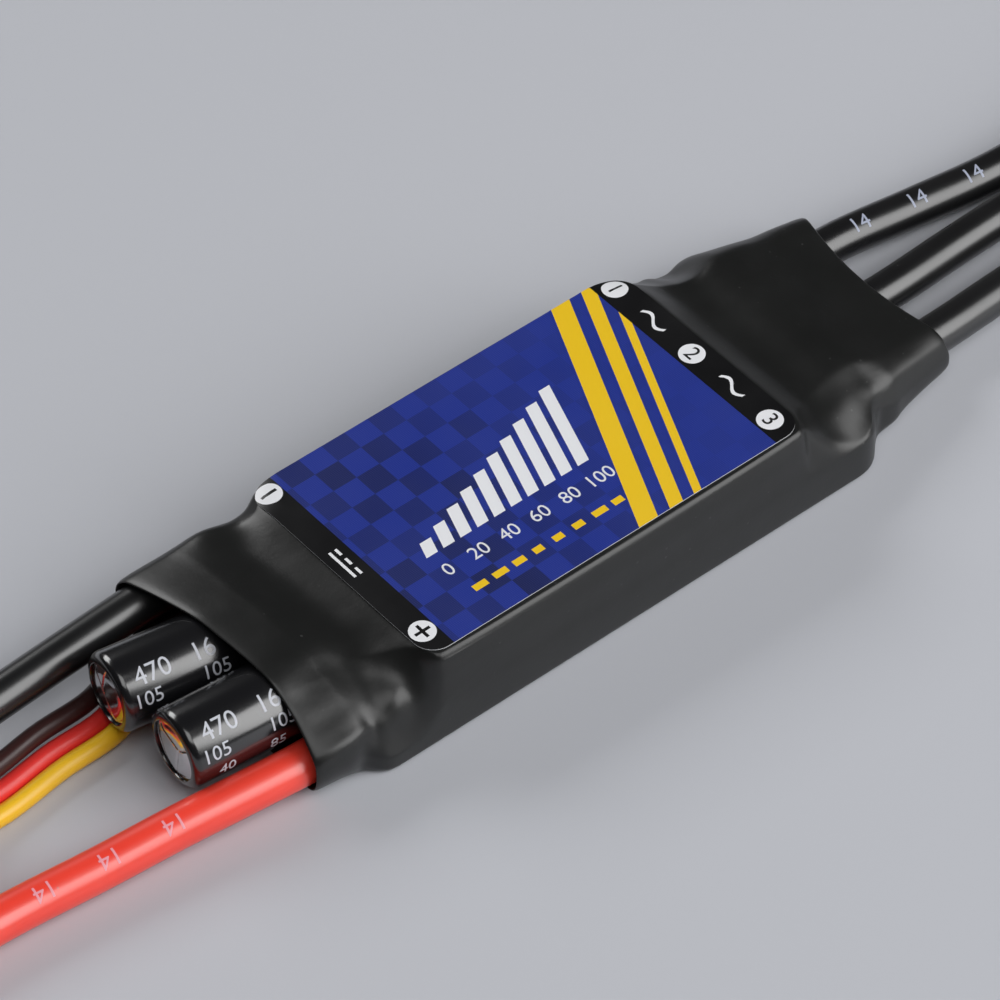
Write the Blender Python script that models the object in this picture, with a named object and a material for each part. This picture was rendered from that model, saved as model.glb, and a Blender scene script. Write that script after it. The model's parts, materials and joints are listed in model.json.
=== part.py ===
"""Electronic speed controller for a brushless motor, with its leads and plugs.

Units are metres and +Z is up. The origin is on the flat underside, below the middle of the label.
+X points to the motor leads, -X to the battery leads and +Y to the side of the black battery wire.
"""

import math

import bmesh
import bpy
import numpy as np
from mathutils import Matrix, Vector

# Clearances
FIT = 0.0002                    # round a piece that sits in another
SOLDER_GAP = 0.00005            # under a piece that is soldered or stuck down
BUTT_GAP = 0.0003               # between the end of a wire and what it meets

# Heat-shrink sleeve
SLEEVE_WALL = 0.00045
SLEEVE_BATTERY_OVERHANG = 0.0058    # from the control board's end to the battery mouth
SLEEVE_MOTOR_OVERHANG = 0.0110  # from the boards' motor end to the middle of the motor mouth
SLEEVE_SHRUNK_WIDTH = 0.0190    # size of the flat tube where nothing fills it
SLEEVE_SHRUNK_HEIGHT = 0.0046
SLEEVE_SHRUNK_SHIFT = 0.0011    # its middle, towards +Y
SLEEVE_BRIDGE = 0.0036          # how far the film reaches past an edge before it follows the shape
SLEEVE_BATTERY_SKEW = 0.0013    # how much further the battery mouth reaches at +Y
SLEEVE_MOTOR_SCALLOP = 0.0016   # how much further the sides of the motor mouth reach
SLEEVE_MOTOR_SKEW = 0.0005      # how much further its +Y side reaches than its middle
SLEEVE_MOUTH_RAMP = 0.0080      # length over which skew and scallop fade in
UNDERSIDE_FLAT = 0.0120         # width of the flat underside at the narrow end

# Label, over the heat sink
LABEL_BATTERY_OVERHANG = 0.00015    # past the heat sink's battery end
LABEL_MOTOR_INSET = 0.00025         # inside its motor end
LABEL_SIDE_OVERHANG = 0.000375      # past each of its sides
LABEL_THICKNESS = 0.0001
LABEL_CORNER = 0.0014

# Heat sink and the boards below it, from the top down
PLATE_LENGTH = 0.0401
PLATE_WIDTH = 0.0229
PLATE_THICKNESS = 0.00275
PLATE_CORNER = 0.0016
PLATE_SHIFT = 0.0002
PAD_LENGTH = 0.0350
PAD_WIDTH = 0.0222
PAD_THICKNESS = 0.0005
SWITCH_BOARD_LENGTH = 0.0475
SWITCH_BOARD_WIDTH = 0.0247
SWITCH_BOARD_THICKNESS = 0.0010
BOARD_SPACING = 0.00145
CONTROL_BOARD_STEP = 0.0050     # how much further the control board reaches towards the battery leads
CONTROL_BOARD_WIDTH = 0.0249
CONTROL_BOARD_THICKNESS = 0.0010
BOARD_MOTOR_END = 0.0272        # both boards end here, towards the motor leads
BOARD_CORNER = 0.0008
MOTOR_PAD_INSET = 0.0010        # from the heat sink's motor end to the start of each motor wire
BATTERY_PAD_INSET = 0.0006      # from the switching board's battery end to the start of each battery wire
SERVO_PAD_INSET = 0.0019        # from the control board's battery end to the start of each servo wire
CAP_LEAD_INSET = 0.0025         # from the same end to the holes for the capacitor leads

# Power transistors
FET_LENGTH = 0.0080
FET_BODY_WIDTH = 0.0070
FET_HEIGHT = 0.0010
FET_LEG = 0.0014
FET_PITCH_X = 0.0115
FET_PITCH_Y = 0.0114
FET_LEGS = 4

# Chips on the control board: length, body width and height
CHIP_LEG = 0.0010
CHIP_FOOT = 0.00025
MICROCONTROLLER_SIZE = (0.0070, 0.0070, 0.0010)
MICROCONTROLLER_LEGS = 8
DRIVER_SIZE = (0.0049, 0.0039, 0.0012)
DRIVER_LEGS = 4
REGULATOR_SIZE = (0.0065, 0.0037, 0.0012)
REGULATOR_LEGS = 3
INDUCTOR_WIDTH = 0.0064
INDUCTOR_HEIGHT = 0.0013
INDUCTOR_CORNER = 0.0011
INDUCTOR_DRUM = 0.0050          # diameter of the drum that shows in its top
INDUCTOR_GROOVE_WIDTH = 0.00026
INDUCTOR_GROOVE_DEPTH = 0.0003
POST_DIAMETER = 0.0026
POST_NECK = 0.0018
POST_FLANGE = 0.00027
HEADER_LENGTH = 0.0102
HEADER_WIDTH = 0.0020
HEADER_PIN_WIDTH = 0.00067
HEADER_PIN_LENGTH = 0.00022
HEADER_PINS = 5

# Places of the parts on the control board, as X from its battery end and Y
MICROCONTROLLER_PLACE = (0.0231, -0.0010)
DRIVER_X = 0.0345
DRIVER_PITCH = 0.0072
REGULATOR_PLACE = (0.0133, 0.0046)
INDUCTOR_PLACE = (0.0131, -0.0058)
HEADER_PLACE = (0.0231, 0.0094)

# Capacitors
CAP_DIAMETER = 0.0070           # over the printed sleeve
CAP_LENGTH = 0.0128
CAP_SLEEVE_WALL = 0.0002
CAP_SLEEVE_LIP = 0.00064        # how far the printed sleeve curls over the vent end
CAP_EDGE = 0.0004               # rounding of the can's vent end
CAP_GROOVE = 0.0006             # depth of the crimp round the bung
CAP_BUNG_DEPTH = 0.0021
CAP_LEAD_DIAMETER = 0.0006
CAP_LEAD_PITCH = 0.0025
CAP_LEAD_HOLE = 0.0010
CAP_LEAD_BEND = 0.0018
CAP_LEAD_STOP = 0.0003          # from the control board's underside up to the end of each lead
CAP_VENT_REACH = 0.0020         # length of each score line
CAP_VENT_WIDTH = 0.00035
CAP_VENT_DEPTH = 0.0002
CAP_TIP_1 = (-0.0148, 0.00445, 0.00530)     # middle of each vent end, from the control board's end
CAP_TIP_2 = (-0.0143, -0.00353, 0.00510)
CAP_YAW_1 = 8.0                 # degrees by which each vent end leans to +Y
CAP_YAW_2 = 5.0
CAP_PITCH_1 = 1.2               # degrees by which each vent end is raised
CAP_PITCH_2 = 0.3

# Wires
POWER_WIRE = 0.0036             # outer diameter of a 14 gauge silicone wire
POWER_CORE = 0.0019
SERVO_WIRE = 0.0017
SERVO_CORE = 0.0008
ROUTE_SPACING = 2.5             # diameters between the points of a wire's tube
STRIP_STEP = 0.0001             # length of the cut face of the insulation
NEGATIVE_BARE = 0.0046          # bare end of the black wire, which rises over the servo wires

# Motor leads and their bullet sockets
MOTOR_LEAD_END = 0.1050
MOTOR_LEAD_PITCH = 0.0058
MOTOR_LEAD_SHIFT = 0.0005
BULLET_DIAMETER = 0.0045
BULLET_BORE = 0.0035
BULLET_BORE_DEPTH = 0.0090
BULLET_CUP_DEPTH = 0.0040
BULLET_LENGTH = 0.0145
BULLET_SLEEVE_WALL = 0.0004
BULLET_SLEEVE_OVERLAP = 0.0050  # how far the insulating sleeve reaches over the wire

# Battery plug
BATTERY_LEAD_END = -0.1300
BATTERY_PLUG_SHIFT = 0.0016     # middle of the plug, towards +Y
BATTERY_BLADE_PITCH = 0.0070
BATTERY_BLADE_WIDTH = 0.0062
BATTERY_BLADE_THICKNESS = 0.0010
BATTERY_BLADE_NOSE = 0.0015     # size of the slant at each corner of a blade's tip
BATTERY_BLADE_LENGTH = 0.0098   # in front of the housing
BATTERY_TAG_LENGTH = 0.0045     # behind the housing
BATTERY_TAG_WIDTH = 0.0028
BATTERY_HOUSING_LENGTH = 0.0085
BATTERY_HOUSING_WIDTH = 0.0158
BATTERY_HOUSING_HEIGHT = 0.0080
BATTERY_HOUSING_EDGE = 0.0009
BATTERY_RIB_DEPTH = 0.0004
BATTERY_RIBS = 4
BATTERY_TUBE_WALL = 0.0004
BATTERY_TUBE_OVERLAP = 0.0055   # how far each tube reaches over its wire

# Servo lead, folded flat between the battery leads and held by a tie
FOLD_NEAR = -0.0660             # middle of the turn next to the body
FOLD_FAR = -0.1080              # middle of the turn next to the battery plug
FOLD_OUT_Y = 0.0062             # runs of the fold: out, back and out again
FOLD_BACK_Y = -0.0030
FOLD_LAST_Y = 0.0036
FOLD_LOW_Z = 0.00160            # height of the lowest wire in the fold
FOLD_WIRE_PITCH = 0.00180
FOLD_TURN_STEPS = 12            # points in each half turn
TIE_X = -0.0800
TIE_LENGTH = 0.0024
TIE_WALL = 0.0005
SERVO_PLUG_X = -0.0920          # rear of the plug's housing
SERVO_PLUG_LENGTH = 0.0140
SERVO_PLUG_THICKNESS = 0.0026
SERVO_PLUG_HEIGHT = 0.0079
SERVO_PLUG_EDGE = 0.0005
SERVO_PITCH = 0.00254
SERVO_WIRE_DEPTH = 0.0035       # how far each wire goes into the plug
SERVO_CONTACT = 0.0014
SERVO_CONTACT_BORE = 0.0008
SERVO_CONTACT_DEPTH = 0.0060

# Smoothness
TURN_STEPS = 24
SMALL_TURN_STEPS = 16
CORNER_STEPS = 4
SLEEVE_POINTS = 44
SLEEVE_DIRECTIONS = 144
SLEEVE_RAYS = 1440
SLEEVE_TURN_SHARE = 1.4         # how strongly a section's points gather at its turns
SLEEVE_LEAST_FACING = 0.01      # directions that face a ray less than this don't stop it
SLEEVE_WIRE_REACH = 0.0190      # how far outside the battery mouth a wire still shapes the film
SLEEVE_SPACING = 0.0024
SLEEVE_PLATE_SPACING = 0.0100
FILM_STEP = 0.0002
FILM_ROUNDS = 3000

# Heights of the stack, from the underside up
FLOOR = SLEEVE_WALL + FIT
CONTROL_TOP = FLOOR + CONTROL_BOARD_THICKNESS
SWITCH_BOTTOM = CONTROL_TOP + BOARD_SPACING
SWITCH_TOP = SWITCH_BOTTOM + SWITCH_BOARD_THICKNESS
FET_BOTTOM = SWITCH_TOP + SOLDER_GAP
PAD_BOTTOM = FET_BOTTOM + FET_HEIGHT + SOLDER_GAP
PLATE_BOTTOM = PAD_BOTTOM + PAD_THICKNESS + SOLDER_GAP
PLATE_TOP = PLATE_BOTTOM + PLATE_THICKNESS

# Places along the stack
SWITCH_BATTERY_END = BOARD_MOTOR_END - SWITCH_BOARD_LENGTH
CONTROL_BATTERY_END = SWITCH_BATTERY_END - CONTROL_BOARD_STEP
SLEEVE_MIN = CONTROL_BATTERY_END - SLEEVE_BATTERY_OVERHANG
SLEEVE_MAX = BOARD_MOTOR_END + SLEEVE_MOTOR_OVERHANG
PLATE_MIN = PLATE_SHIFT - PLATE_LENGTH / 2
PLATE_MAX = PLATE_SHIFT + PLATE_LENGTH / 2
MOTOR_PAD_X = PLATE_MAX + MOTOR_PAD_INSET
BATTERY_PAD_X = SWITCH_BATTERY_END - BATTERY_PAD_INSET
SERVO_PAD_X = CONTROL_BATTERY_END + SERVO_PAD_INSET
CAP_LEAD_X = CONTROL_BATTERY_END + CAP_LEAD_INSET

# Heights of the wires where they are soldered down
MOTOR_PAD_Z = SWITCH_TOP + POWER_CORE / 2 + SOLDER_GAP
BATTERY_PAD_Z = CONTROL_TOP + POWER_CORE / 2 + SOLDER_GAP
SERVO_PAD_Z = CONTROL_TOP + SERVO_CORE / 2 + SOLDER_GAP

# Routes of the wires, from the solder pad outwards, as points to pass through
MOTOR_ROUTES = (
    ((MOTOR_PAD_X, 0.0079, MOTOR_PAD_Z), (BOARD_MOTOR_END, 0.0079, MOTOR_PAD_Z),
     (0.0298, 0.0079, 0.0044), (0.0335, 0.00785, 0.0033), (0.0380, 0.0077, 0.00255),
     (0.0420, 0.0076, 0.0024), (0.0500, 0.0066, 0.0022), (0.0587, 0.0056, 0.0021),
     (0.0750, 0.0056, 0.0023), (0.0920, 0.0061, 0.0028)),
    ((MOTOR_PAD_X, 0.0003, MOTOR_PAD_Z), (BOARD_MOTOR_END, 0.0003, MOTOR_PAD_Z),
     (0.0298, 0.0003, 0.0044), (0.0335, 0.0003, 0.0033), (0.0380, 0.0003, 0.00255),
     (0.0420, 0.0004, 0.0024), (0.0480, 0.0008, 0.0022), (0.0546, 0.00105, 0.0021),
     (0.0750, 0.0006, 0.0023), (0.0920, 0.0005, 0.0028)),
    ((MOTOR_PAD_X, -0.0064, MOTOR_PAD_Z), (BOARD_MOTOR_END, -0.0064, MOTOR_PAD_Z),
     (0.0298, -0.0064, 0.0044), (0.0335, -0.0063, 0.0033), (0.0380, -0.0062, 0.00255),
     (0.0420, -0.0061, 0.0024), (0.0483, -0.0057, 0.0022), (0.0600, -0.0053, 0.0021),
     (0.0750, -0.0052, 0.0023), (0.0920, -0.0053, 0.0028)),
)
BATTERY_ROUTE_NEGATIVE = (
    (BATTERY_PAD_X, 0.0098, BATTERY_PAD_Z), (-0.0226, 0.0099, 0.0034), (-0.0243, 0.0101, 0.0050),
    (-0.0262, 0.0103, 0.0055), (-0.0286, 0.0106, 0.0053), (-0.0315, 0.0108, 0.0050),
    (-0.0390, 0.01055, 0.0048), (-0.0464, 0.0102, 0.0046), (-0.0560, 0.0098, 0.0042),
    (-0.0700, 0.0096, 0.0036), (-0.0900, 0.0096, 0.0034), (-0.1090, 0.0091, 0.0036),
)
BATTERY_ROUTE_POSITIVE = (
    (BATTERY_PAD_X, -0.0094, BATTERY_PAD_Z), (-0.0240, -0.0094, BATTERY_PAD_Z),
    (-0.0270, -0.0094, 0.00255), (-0.0307, -0.0094, 0.0025), (-0.0355, -0.0089, 0.0024),
    (-0.0430, -0.0080, 0.0022), (-0.0497, -0.00735, 0.0020), (-0.0589, -0.0065, 0.0020),
    (-0.0720, -0.0064, 0.0022), (-0.0900, -0.0064, 0.0026), (-0.1090, -0.0059, 0.0034),
)
SERVO_ROUTES = (
    ((SERVO_PAD_X, 0.0058, SERVO_PAD_Z), (CONTROL_BATTERY_END, 0.0058, SERVO_PAD_Z),
     (-0.0265, 0.0058, 0.0017), (-0.0290, 0.0059, 0.00153), (-0.0318, 0.0059, 0.0015),
     (-0.0360, 0.0054, 0.00092), (-0.0398, 0.0039, 0.00090), (-0.0453, 0.0036, 0.00090),
     (-0.0522, 0.0028, 0.00090), (-0.0580, 0.0034, 0.00112)),
    ((SERVO_PAD_X, 0.0076, SERVO_PAD_Z), (CONTROL_BATTERY_END, 0.0076, SERVO_PAD_Z),
     (-0.0265, 0.0076, 0.0017), (-0.0290, 0.0077, 0.00153), (-0.0318, 0.0077, 0.0015),
     (-0.0360, 0.0072, 0.00092), (-0.0398, 0.00568, 0.0010), (-0.0453, 0.0053, 0.0012),
     (-0.0518, 0.0044, 0.00148), (-0.0580, 0.0042, 0.0029)),
    ((SERVO_PAD_X, 0.0094, SERVO_PAD_Z), (CONTROL_BATTERY_END, 0.0094, SERVO_PAD_Z),
     (-0.0265, 0.0094, 0.0017), (-0.0290, 0.0095, 0.00153), (-0.0318, 0.0095, 0.0015),
     (-0.0360, 0.0090, 0.0012), (-0.0398, 0.0075, 0.0017), (-0.0453, 0.0069, 0.0022),
     (-0.0513, 0.0057, 0.0028), (-0.0580, 0.0047, 0.0048)),
)
SERVO_NAMES = ("servo_wire_yellow", "servo_wire_red", "servo_wire_brown")

ROOT_NAME = "speed_controller"


# Objects, materials and small helpers

def clear_scene():
    for item in list(bpy.data.objects):
        bpy.data.objects.remove(item, do_unlink=True)


def material(name, colour, roughness, metallic=0.0):
    """A Principled material, made once for each name."""
    made = bpy.data.materials.get(name)
    if made is None:
        made = bpy.data.materials.new(name)
        made.use_nodes = True
        shader = made.node_tree.nodes["Principled BSDF"]
        shader.inputs["Base Color"].default_value = (*colour, 1.0)
        shader.inputs["Roughness"].default_value = roughness
        shader.inputs["Metallic"].default_value = metallic
    return made


def shrink_film():
    return material("shrink_film", (0.022, 0.023, 0.024), 0.62)


def label_print():
    return material("label_print", (0.016, 0.026, 0.262), 0.38)


def aluminium():
    return material("aluminium", (0.76, 0.77, 0.78), 0.34, 1.0)


def board_laminate():
    return material("board_laminate", (0.010, 0.075, 0.035), 0.45)


def chip_resin():
    return material("chip_resin", (0.018, 0.018, 0.020), 0.55)


def ferrite():
    return material("ferrite", (0.055, 0.055, 0.060), 0.70)


def brass():
    return material("brass", (0.80, 0.58, 0.22), 0.28, 1.0)


def tinned_steel():
    return material("tinned_steel", (0.70, 0.71, 0.72), 0.30, 1.0)


def thermal_silicone():
    return material("thermal_silicone", (0.42, 0.45, 0.50), 0.80)


def rubber():
    return material("rubber", (0.020, 0.020, 0.020), 0.75)


def capacitor_film():
    return material("capacitor_film", (0.030, 0.030, 0.034), 0.25)


def silicone_black():
    return material("silicone_black", (0.012, 0.012, 0.014), 0.35)


def silicone_red():
    return material("silicone_red", (0.880, 0.045, 0.022), 0.35)


def vinyl(name, colour):
    return material(name, colour, 0.42)


def plug_nylon():
    return material("plug_nylon", (0.60, 0.030, 0.022), 0.40)


def black_nylon():
    return material("black_nylon", (0.020, 0.020, 0.022), 0.48)


def add_object(name, data, look):
    """Link a mesh or a curve as a named sub-part under the root empty."""
    made = bpy.data.objects.new(name, data)
    bpy.context.scene.collection.objects.link(made)
    data.materials.append(look)
    made.parent = bpy.data.objects[ROOT_NAME]
    return made


def to_object(name, bm, look, smooth_angle=None):
    """Turn a bmesh into a sub-part, shaded smooth where its faces meet at less than the angle."""
    bmesh.ops.recalc_face_normals(bm, faces=bm.faces[:])
    mesh = bpy.data.meshes.new(name)
    bm.to_mesh(mesh)
    bm.free()
    if smooth_angle is not None:
        mesh.shade_smooth()
        mesh.set_sharp_from_angle(angle=math.radians(smooth_angle))
    return add_object(name, mesh, look)


def cut(target, cutter):
    """Take a cutter's shape out of a piece; the cutter stays hidden."""
    cutter.hide_render = True
    cutter.display_type = "WIRE"
    cutter.hide_set(True)
    change = target.modifiers.new(cutter.name, "BOOLEAN")
    change.operation = "DIFFERENCE"
    change.object = cutter


def round_edges(target, width, segments=1, angle=40.0):
    change = target.modifiers.new("edges", "BEVEL")
    change.width = width
    change.segments = segments
    change.limit_method = "ANGLE"
    change.angle_limit = math.radians(angle)


def rounded_rectangle(length, width, corner):
    """Outline of a rectangle round the origin, with round corners, counter-clockwise."""
    points = []
    for side_x, side_y, start in ((1, 1, 0.0), (-1, 1, 90.0), (-1, -1, 180.0), (1, -1, 270.0)):
        for step in range(CORNER_STEPS + 1):
            angle = math.radians(start + 90.0 * step / CORNER_STEPS)
            points.append((side_x * (length / 2 - corner) + corner * math.cos(angle),
                           side_y * (width / 2 - corner) + corner * math.sin(angle)))
    return points


def prism(outline, bottom, top):
    """A bmesh of an outline in XY, extruded from one height to another."""
    bm = bmesh.new()
    face = bm.faces.new([bm.verts.new((x, y, bottom)) for x, y in outline])
    grown = bmesh.ops.extrude_face_region(bm, geom=[face])
    raised = [item for item in grown["geom"] if isinstance(item, bmesh.types.BMVert)]
    bmesh.ops.translate(bm, verts=raised, vec=(0.0, 0.0, top - bottom))
    return bm


def draw_out(bm, faces, offset):
    """Extrude a patch of faces of a closed body along an offset."""
    grown = bmesh.ops.extrude_face_region(bm, geom=faces)
    moved = [item for item in grown["geom"] if isinstance(item, bmesh.types.BMVert)]
    bmesh.ops.delete(bm, geom=faces, context="FACES")
    bmesh.ops.translate(bm, verts=moved, vec=offset)


def block(size, centre):
    bm = bmesh.new()
    bmesh.ops.create_cube(bm, size=1.0)
    bmesh.ops.scale(bm, vec=size, verts=bm.verts[:])
    bmesh.ops.translate(bm, vec=centre, verts=bm.verts[:])
    return bm


def turned(profile, steps):
    """A body turned about X from (x, radius) points, open at the axis or closed on itself."""
    bm = bmesh.new()
    verts = [bm.verts.new((x, radius, 0.0)) for x, radius in profile]
    is_ring = min(radius for _, radius in profile) > 0.0
    ends = verts[1:] + verts[:1] if is_ring else verts[1:]
    edges = [bm.edges.new(pair) for pair in zip(verts, ends)]
    bmesh.ops.spin(bm, geom=verts + edges, cent=(0.0, 0.0, 0.0), axis=(1.0, 0.0, 0.0),
                   angle=2 * math.pi, steps=steps, use_merge=True)
    bmesh.ops.remove_doubles(bm, verts=bm.verts[:], dist=1e-7)
    return bm


def point_along(item, place, direction):
    """Place a turned piece with its X axis along a direction."""
    item.location = place
    item.rotation_mode = "QUATERNION"
    item.rotation_quaternion = Vector(direction).to_track_quat("X", "Z")


# Boards, heat sink, label and the parts on the boards

def cap_direction(yaw, pitch):
    """Unit vector from a capacitor's bung to its vent end."""
    flat = math.cos(math.radians(pitch))
    return Vector((-math.cos(math.radians(yaw)) * flat, math.sin(math.radians(yaw)) * flat,
                   math.sin(math.radians(pitch))))


def cap_frames():
    """For each capacitor the middle of its bung end and its direction."""
    frames = []
    for tip, yaw, pitch in ((CAP_TIP_1, CAP_YAW_1, CAP_PITCH_1), (CAP_TIP_2, CAP_YAW_2, CAP_PITCH_2)):
        direction = cap_direction(yaw, pitch)
        vent = Vector(tip) + Vector((CONTROL_BATTERY_END, 0.0, 0.0))
        frames.append((vent - direction * CAP_LENGTH, direction))
    return frames


def cap_lead_ys():
    """Y of each pair of capacitor leads where they go down into the control board."""
    pairs = []
    for base, direction in cap_frames():
        along = (CAP_LEAD_X - base.x) / direction.x
        middle = base.y + direction.y * along
        pairs.append((middle - CAP_LEAD_PITCH / 2, middle + CAP_LEAD_PITCH / 2))
    return pairs


def make_boards():
    control_length = SWITCH_BOARD_LENGTH + CONTROL_BOARD_STEP
    control = rounded_rectangle(control_length, CONTROL_BOARD_WIDTH, BOARD_CORNER)
    control_board = to_object("control_board", prism(control, FLOOR, CONTROL_TOP), board_laminate())
    control_board.location.x = BOARD_MOTOR_END - control_length / 2
    for pair_number, pair in enumerate(cap_lead_ys(), 1):
        for lead_number, y in enumerate(pair, 1):
            hole = bmesh.new()
            bmesh.ops.create_cone(hole, cap_ends=True, segments=SMALL_TURN_STEPS, radius1=CAP_LEAD_HOLE / 2,
                                  radius2=CAP_LEAD_HOLE / 2, depth=4 * CONTROL_BOARD_THICKNESS)
            cutter = to_object(f"lead_hole_{pair_number}_{lead_number}", hole, board_laminate())
            cutter.location = (CAP_LEAD_X, y, FLOOR + CONTROL_BOARD_THICKNESS / 2)
            cut(control_board, cutter)
    switch = rounded_rectangle(SWITCH_BOARD_LENGTH, SWITCH_BOARD_WIDTH, BOARD_CORNER)
    switch_board = to_object("switching_board", prism(switch, SWITCH_BOTTOM, SWITCH_TOP), board_laminate())
    switch_board.location.x = BOARD_MOTOR_END - SWITCH_BOARD_LENGTH / 2


def make_heat_sink():
    pad = rounded_rectangle(PAD_LENGTH, PAD_WIDTH, PLATE_CORNER)
    to_object("thermal_pad", prism(pad, PAD_BOTTOM, PAD_BOTTOM + PAD_THICKNESS), thermal_silicone())
    plate_outline = rounded_rectangle(PLATE_LENGTH, PLATE_WIDTH, PLATE_CORNER)
    plate = to_object("heat_sink_plate", prism(plate_outline, PLATE_BOTTOM, PLATE_TOP), aluminium())
    plate.location.x = PLATE_SHIFT


def leaded_chip(name, size, legs, leg, look, all_sides=False, tab=False):
    """A chip on flat feet: its lower side faces are drawn out in turn, or as one wide tab at +Y."""
    length, width, height = size
    columns = 2 * legs + 1
    bm = block((length, width, height), (0.0, 0.0, height / 2))
    planes = [(0.0, 0.0, CHIP_FOOT, 0.0, 0.0, 1.0)]
    for step in range(1, columns):
        share = step / columns - 0.5
        planes.append((share * length, 0.0, 0.0, 1.0, 0.0, 0.0))
        if all_sides:
            planes.append((0.0, share * width, 0.0, 0.0, 1.0, 0.0))
    for plane in planes:
        bmesh.ops.bisect_plane(bm, geom=bm.verts[:] + bm.edges[:] + bm.faces[:],
                               plane_co=plane[:3], plane_no=plane[3:])
    bm.normal_update()
    tab_faces = []
    for face in list(bm.faces):
        middle = face.calc_center_median()
        out = face.normal.copy()
        if middle.z > CHIP_FOOT or abs(out.z) > 0.5 or (abs(out.x) > 0.5 and not all_sides):
            continue
        along, span = (middle.y, width) if abs(out.x) > 0.5 else (middle.x, length)
        column = int((along / span + 0.5) * columns)
        if tab and out.y > 0.5:
            if 0 < column < columns - 1:
                tab_faces.append(face)
        elif column % 2 == 1:
            draw_out(bm, [face], out * leg)
    if tab_faces:
        draw_out(bm, tab_faces, (0.0, leg, 0.0))
    return to_object(name, bm, look)


def make_transistors():
    size = (FET_LENGTH, FET_BODY_WIDTH, FET_HEIGHT)
    number = 0
    for column in (-1, 0, 1):
        for row in (-1, 1):
            number += 1
            fet = leaded_chip(f"mosfet_{number}", size, FET_LEGS, FET_LEG, chip_resin(), tab=True)
            fet.location = (column * FET_PITCH_X, row * FET_PITCH_Y / 2, FET_BOTTOM)
            if row > 0:
                fet.rotation_euler.z = math.pi


def make_control_parts():
    seat = Vector((CONTROL_BATTERY_END, 0.0, CONTROL_TOP + SOLDER_GAP))
    chip = leaded_chip("microcontroller", MICROCONTROLLER_SIZE, MICROCONTROLLER_LEGS, CHIP_LEG,
                       chip_resin(), all_sides=True)
    chip.location = seat + Vector((*MICROCONTROLLER_PLACE, 0.0))
    for number in (1, 2, 3):
        driver = leaded_chip(f"gate_driver_{number}", DRIVER_SIZE, DRIVER_LEGS, CHIP_LEG, chip_resin())
        driver.location = seat + Vector((DRIVER_X, (number - 2) * DRIVER_PITCH, 0.0))
    regulator = leaded_chip("bec_regulator", REGULATOR_SIZE, REGULATOR_LEGS, CHIP_LEG, chip_resin(), tab=True)
    regulator.location = seat + Vector((*REGULATOR_PLACE, 0.0))
    make_inductor(seat + Vector((*INDUCTOR_PLACE, 0.0)))
    make_header(seat + Vector((*HEADER_PLACE, 0.0)))


def make_inductor(place):
    outline = rounded_rectangle(INDUCTOR_WIDTH, INDUCTOR_WIDTH, INDUCTOR_CORNER)
    inductor = to_object("bec_inductor", prism(outline, 0.0, INDUCTOR_HEIGHT), ferrite())
    inductor.location = place
    depth = INDUCTOR_GROOVE_DEPTH
    inner = INDUCTOR_DRUM / 2
    outer = inner + INDUCTOR_GROOVE_WIDTH
    profile = ((-depth, inner), (depth, inner), (depth, outer), (-depth, outer))
    groove = to_object("inductor_groove", turned(profile, TURN_STEPS), ferrite())
    point_along(groove, place + Vector((0.0, 0.0, INDUCTOR_HEIGHT)), (0.0, 0.0, 1.0))
    cut(inductor, groove)


def make_header(place):
    """A bar that joins the boards, with its pins drawn out at top and bottom."""
    gap = BOARD_SPACING - 2 * SOLDER_GAP
    bm = block((HEADER_LENGTH, HEADER_WIDTH, gap - 2 * HEADER_PIN_LENGTH), (0.0, 0.0, gap / 2))
    columns = 2 * HEADER_PINS + 1
    geometry = bm.verts[:] + bm.edges[:] + bm.faces[:]
    for step in range(1, columns):
        bmesh.ops.bisect_plane(bm, geom=geometry, plane_co=((step / columns - 0.5) * HEADER_LENGTH, 0, 0),
                               plane_no=(1, 0, 0))
        geometry = bm.verts[:] + bm.edges[:] + bm.faces[:]
    for y in (-HEADER_PIN_WIDTH / 2, HEADER_PIN_WIDTH / 2):
        bmesh.ops.bisect_plane(bm, geom=bm.verts[:] + bm.edges[:] + bm.faces[:],
                               plane_co=(0, y, 0), plane_no=(0, 1, 0))
    bm.normal_update()
    for face in list(bm.faces):
        middle = face.calc_center_median()
        column = int((middle.x / HEADER_LENGTH + 0.5) * columns)
        if abs(face.normal.z) < 0.5 or column % 2 == 0 or abs(middle.y) > HEADER_PIN_WIDTH / 2:
            continue
        draw_out(bm, [face], face.normal * HEADER_PIN_LENGTH)
    header = to_object("signal_header", bm, black_nylon())
    header.location = place


def make_posts():
    """Turned posts that carry the current between the two boards."""
    height = BOARD_SPACING - 2 * SOLDER_GAP
    wide = POST_DIAMETER / 2
    narrow = POST_NECK / 2
    profile = ((0.0, 0.0), (0.0, wide), (POST_FLANGE, wide), (POST_FLANGE, narrow),
               (height - POST_FLANGE, narrow), (height - POST_FLANGE, wide), (height, wide), (height, 0.0))
    places = {
        "phase_post_1": (MOTOR_PAD_X, MOTOR_ROUTES[0][0][1]),
        "phase_post_2": (MOTOR_PAD_X, MOTOR_ROUTES[1][0][1]),
        "phase_post_3": (MOTOR_PAD_X, MOTOR_ROUTES[2][0][1]),
        "supply_post_negative": (SWITCH_BATTERY_END + POST_DIAMETER, BATTERY_ROUTE_NEGATIVE[0][1]),
        "supply_post_positive": (SWITCH_BATTERY_END + POST_DIAMETER, BATTERY_ROUTE_POSITIVE[0][1]),
    }
    for name, (x, y) in places.items():
        post = to_object(name, turned(profile, SMALL_TURN_STEPS), brass(), 40)
        point_along(post, (x, y, CONTROL_TOP + SOLDER_GAP), (0.0, 0.0, 1.0))


# Capacitors

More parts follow.
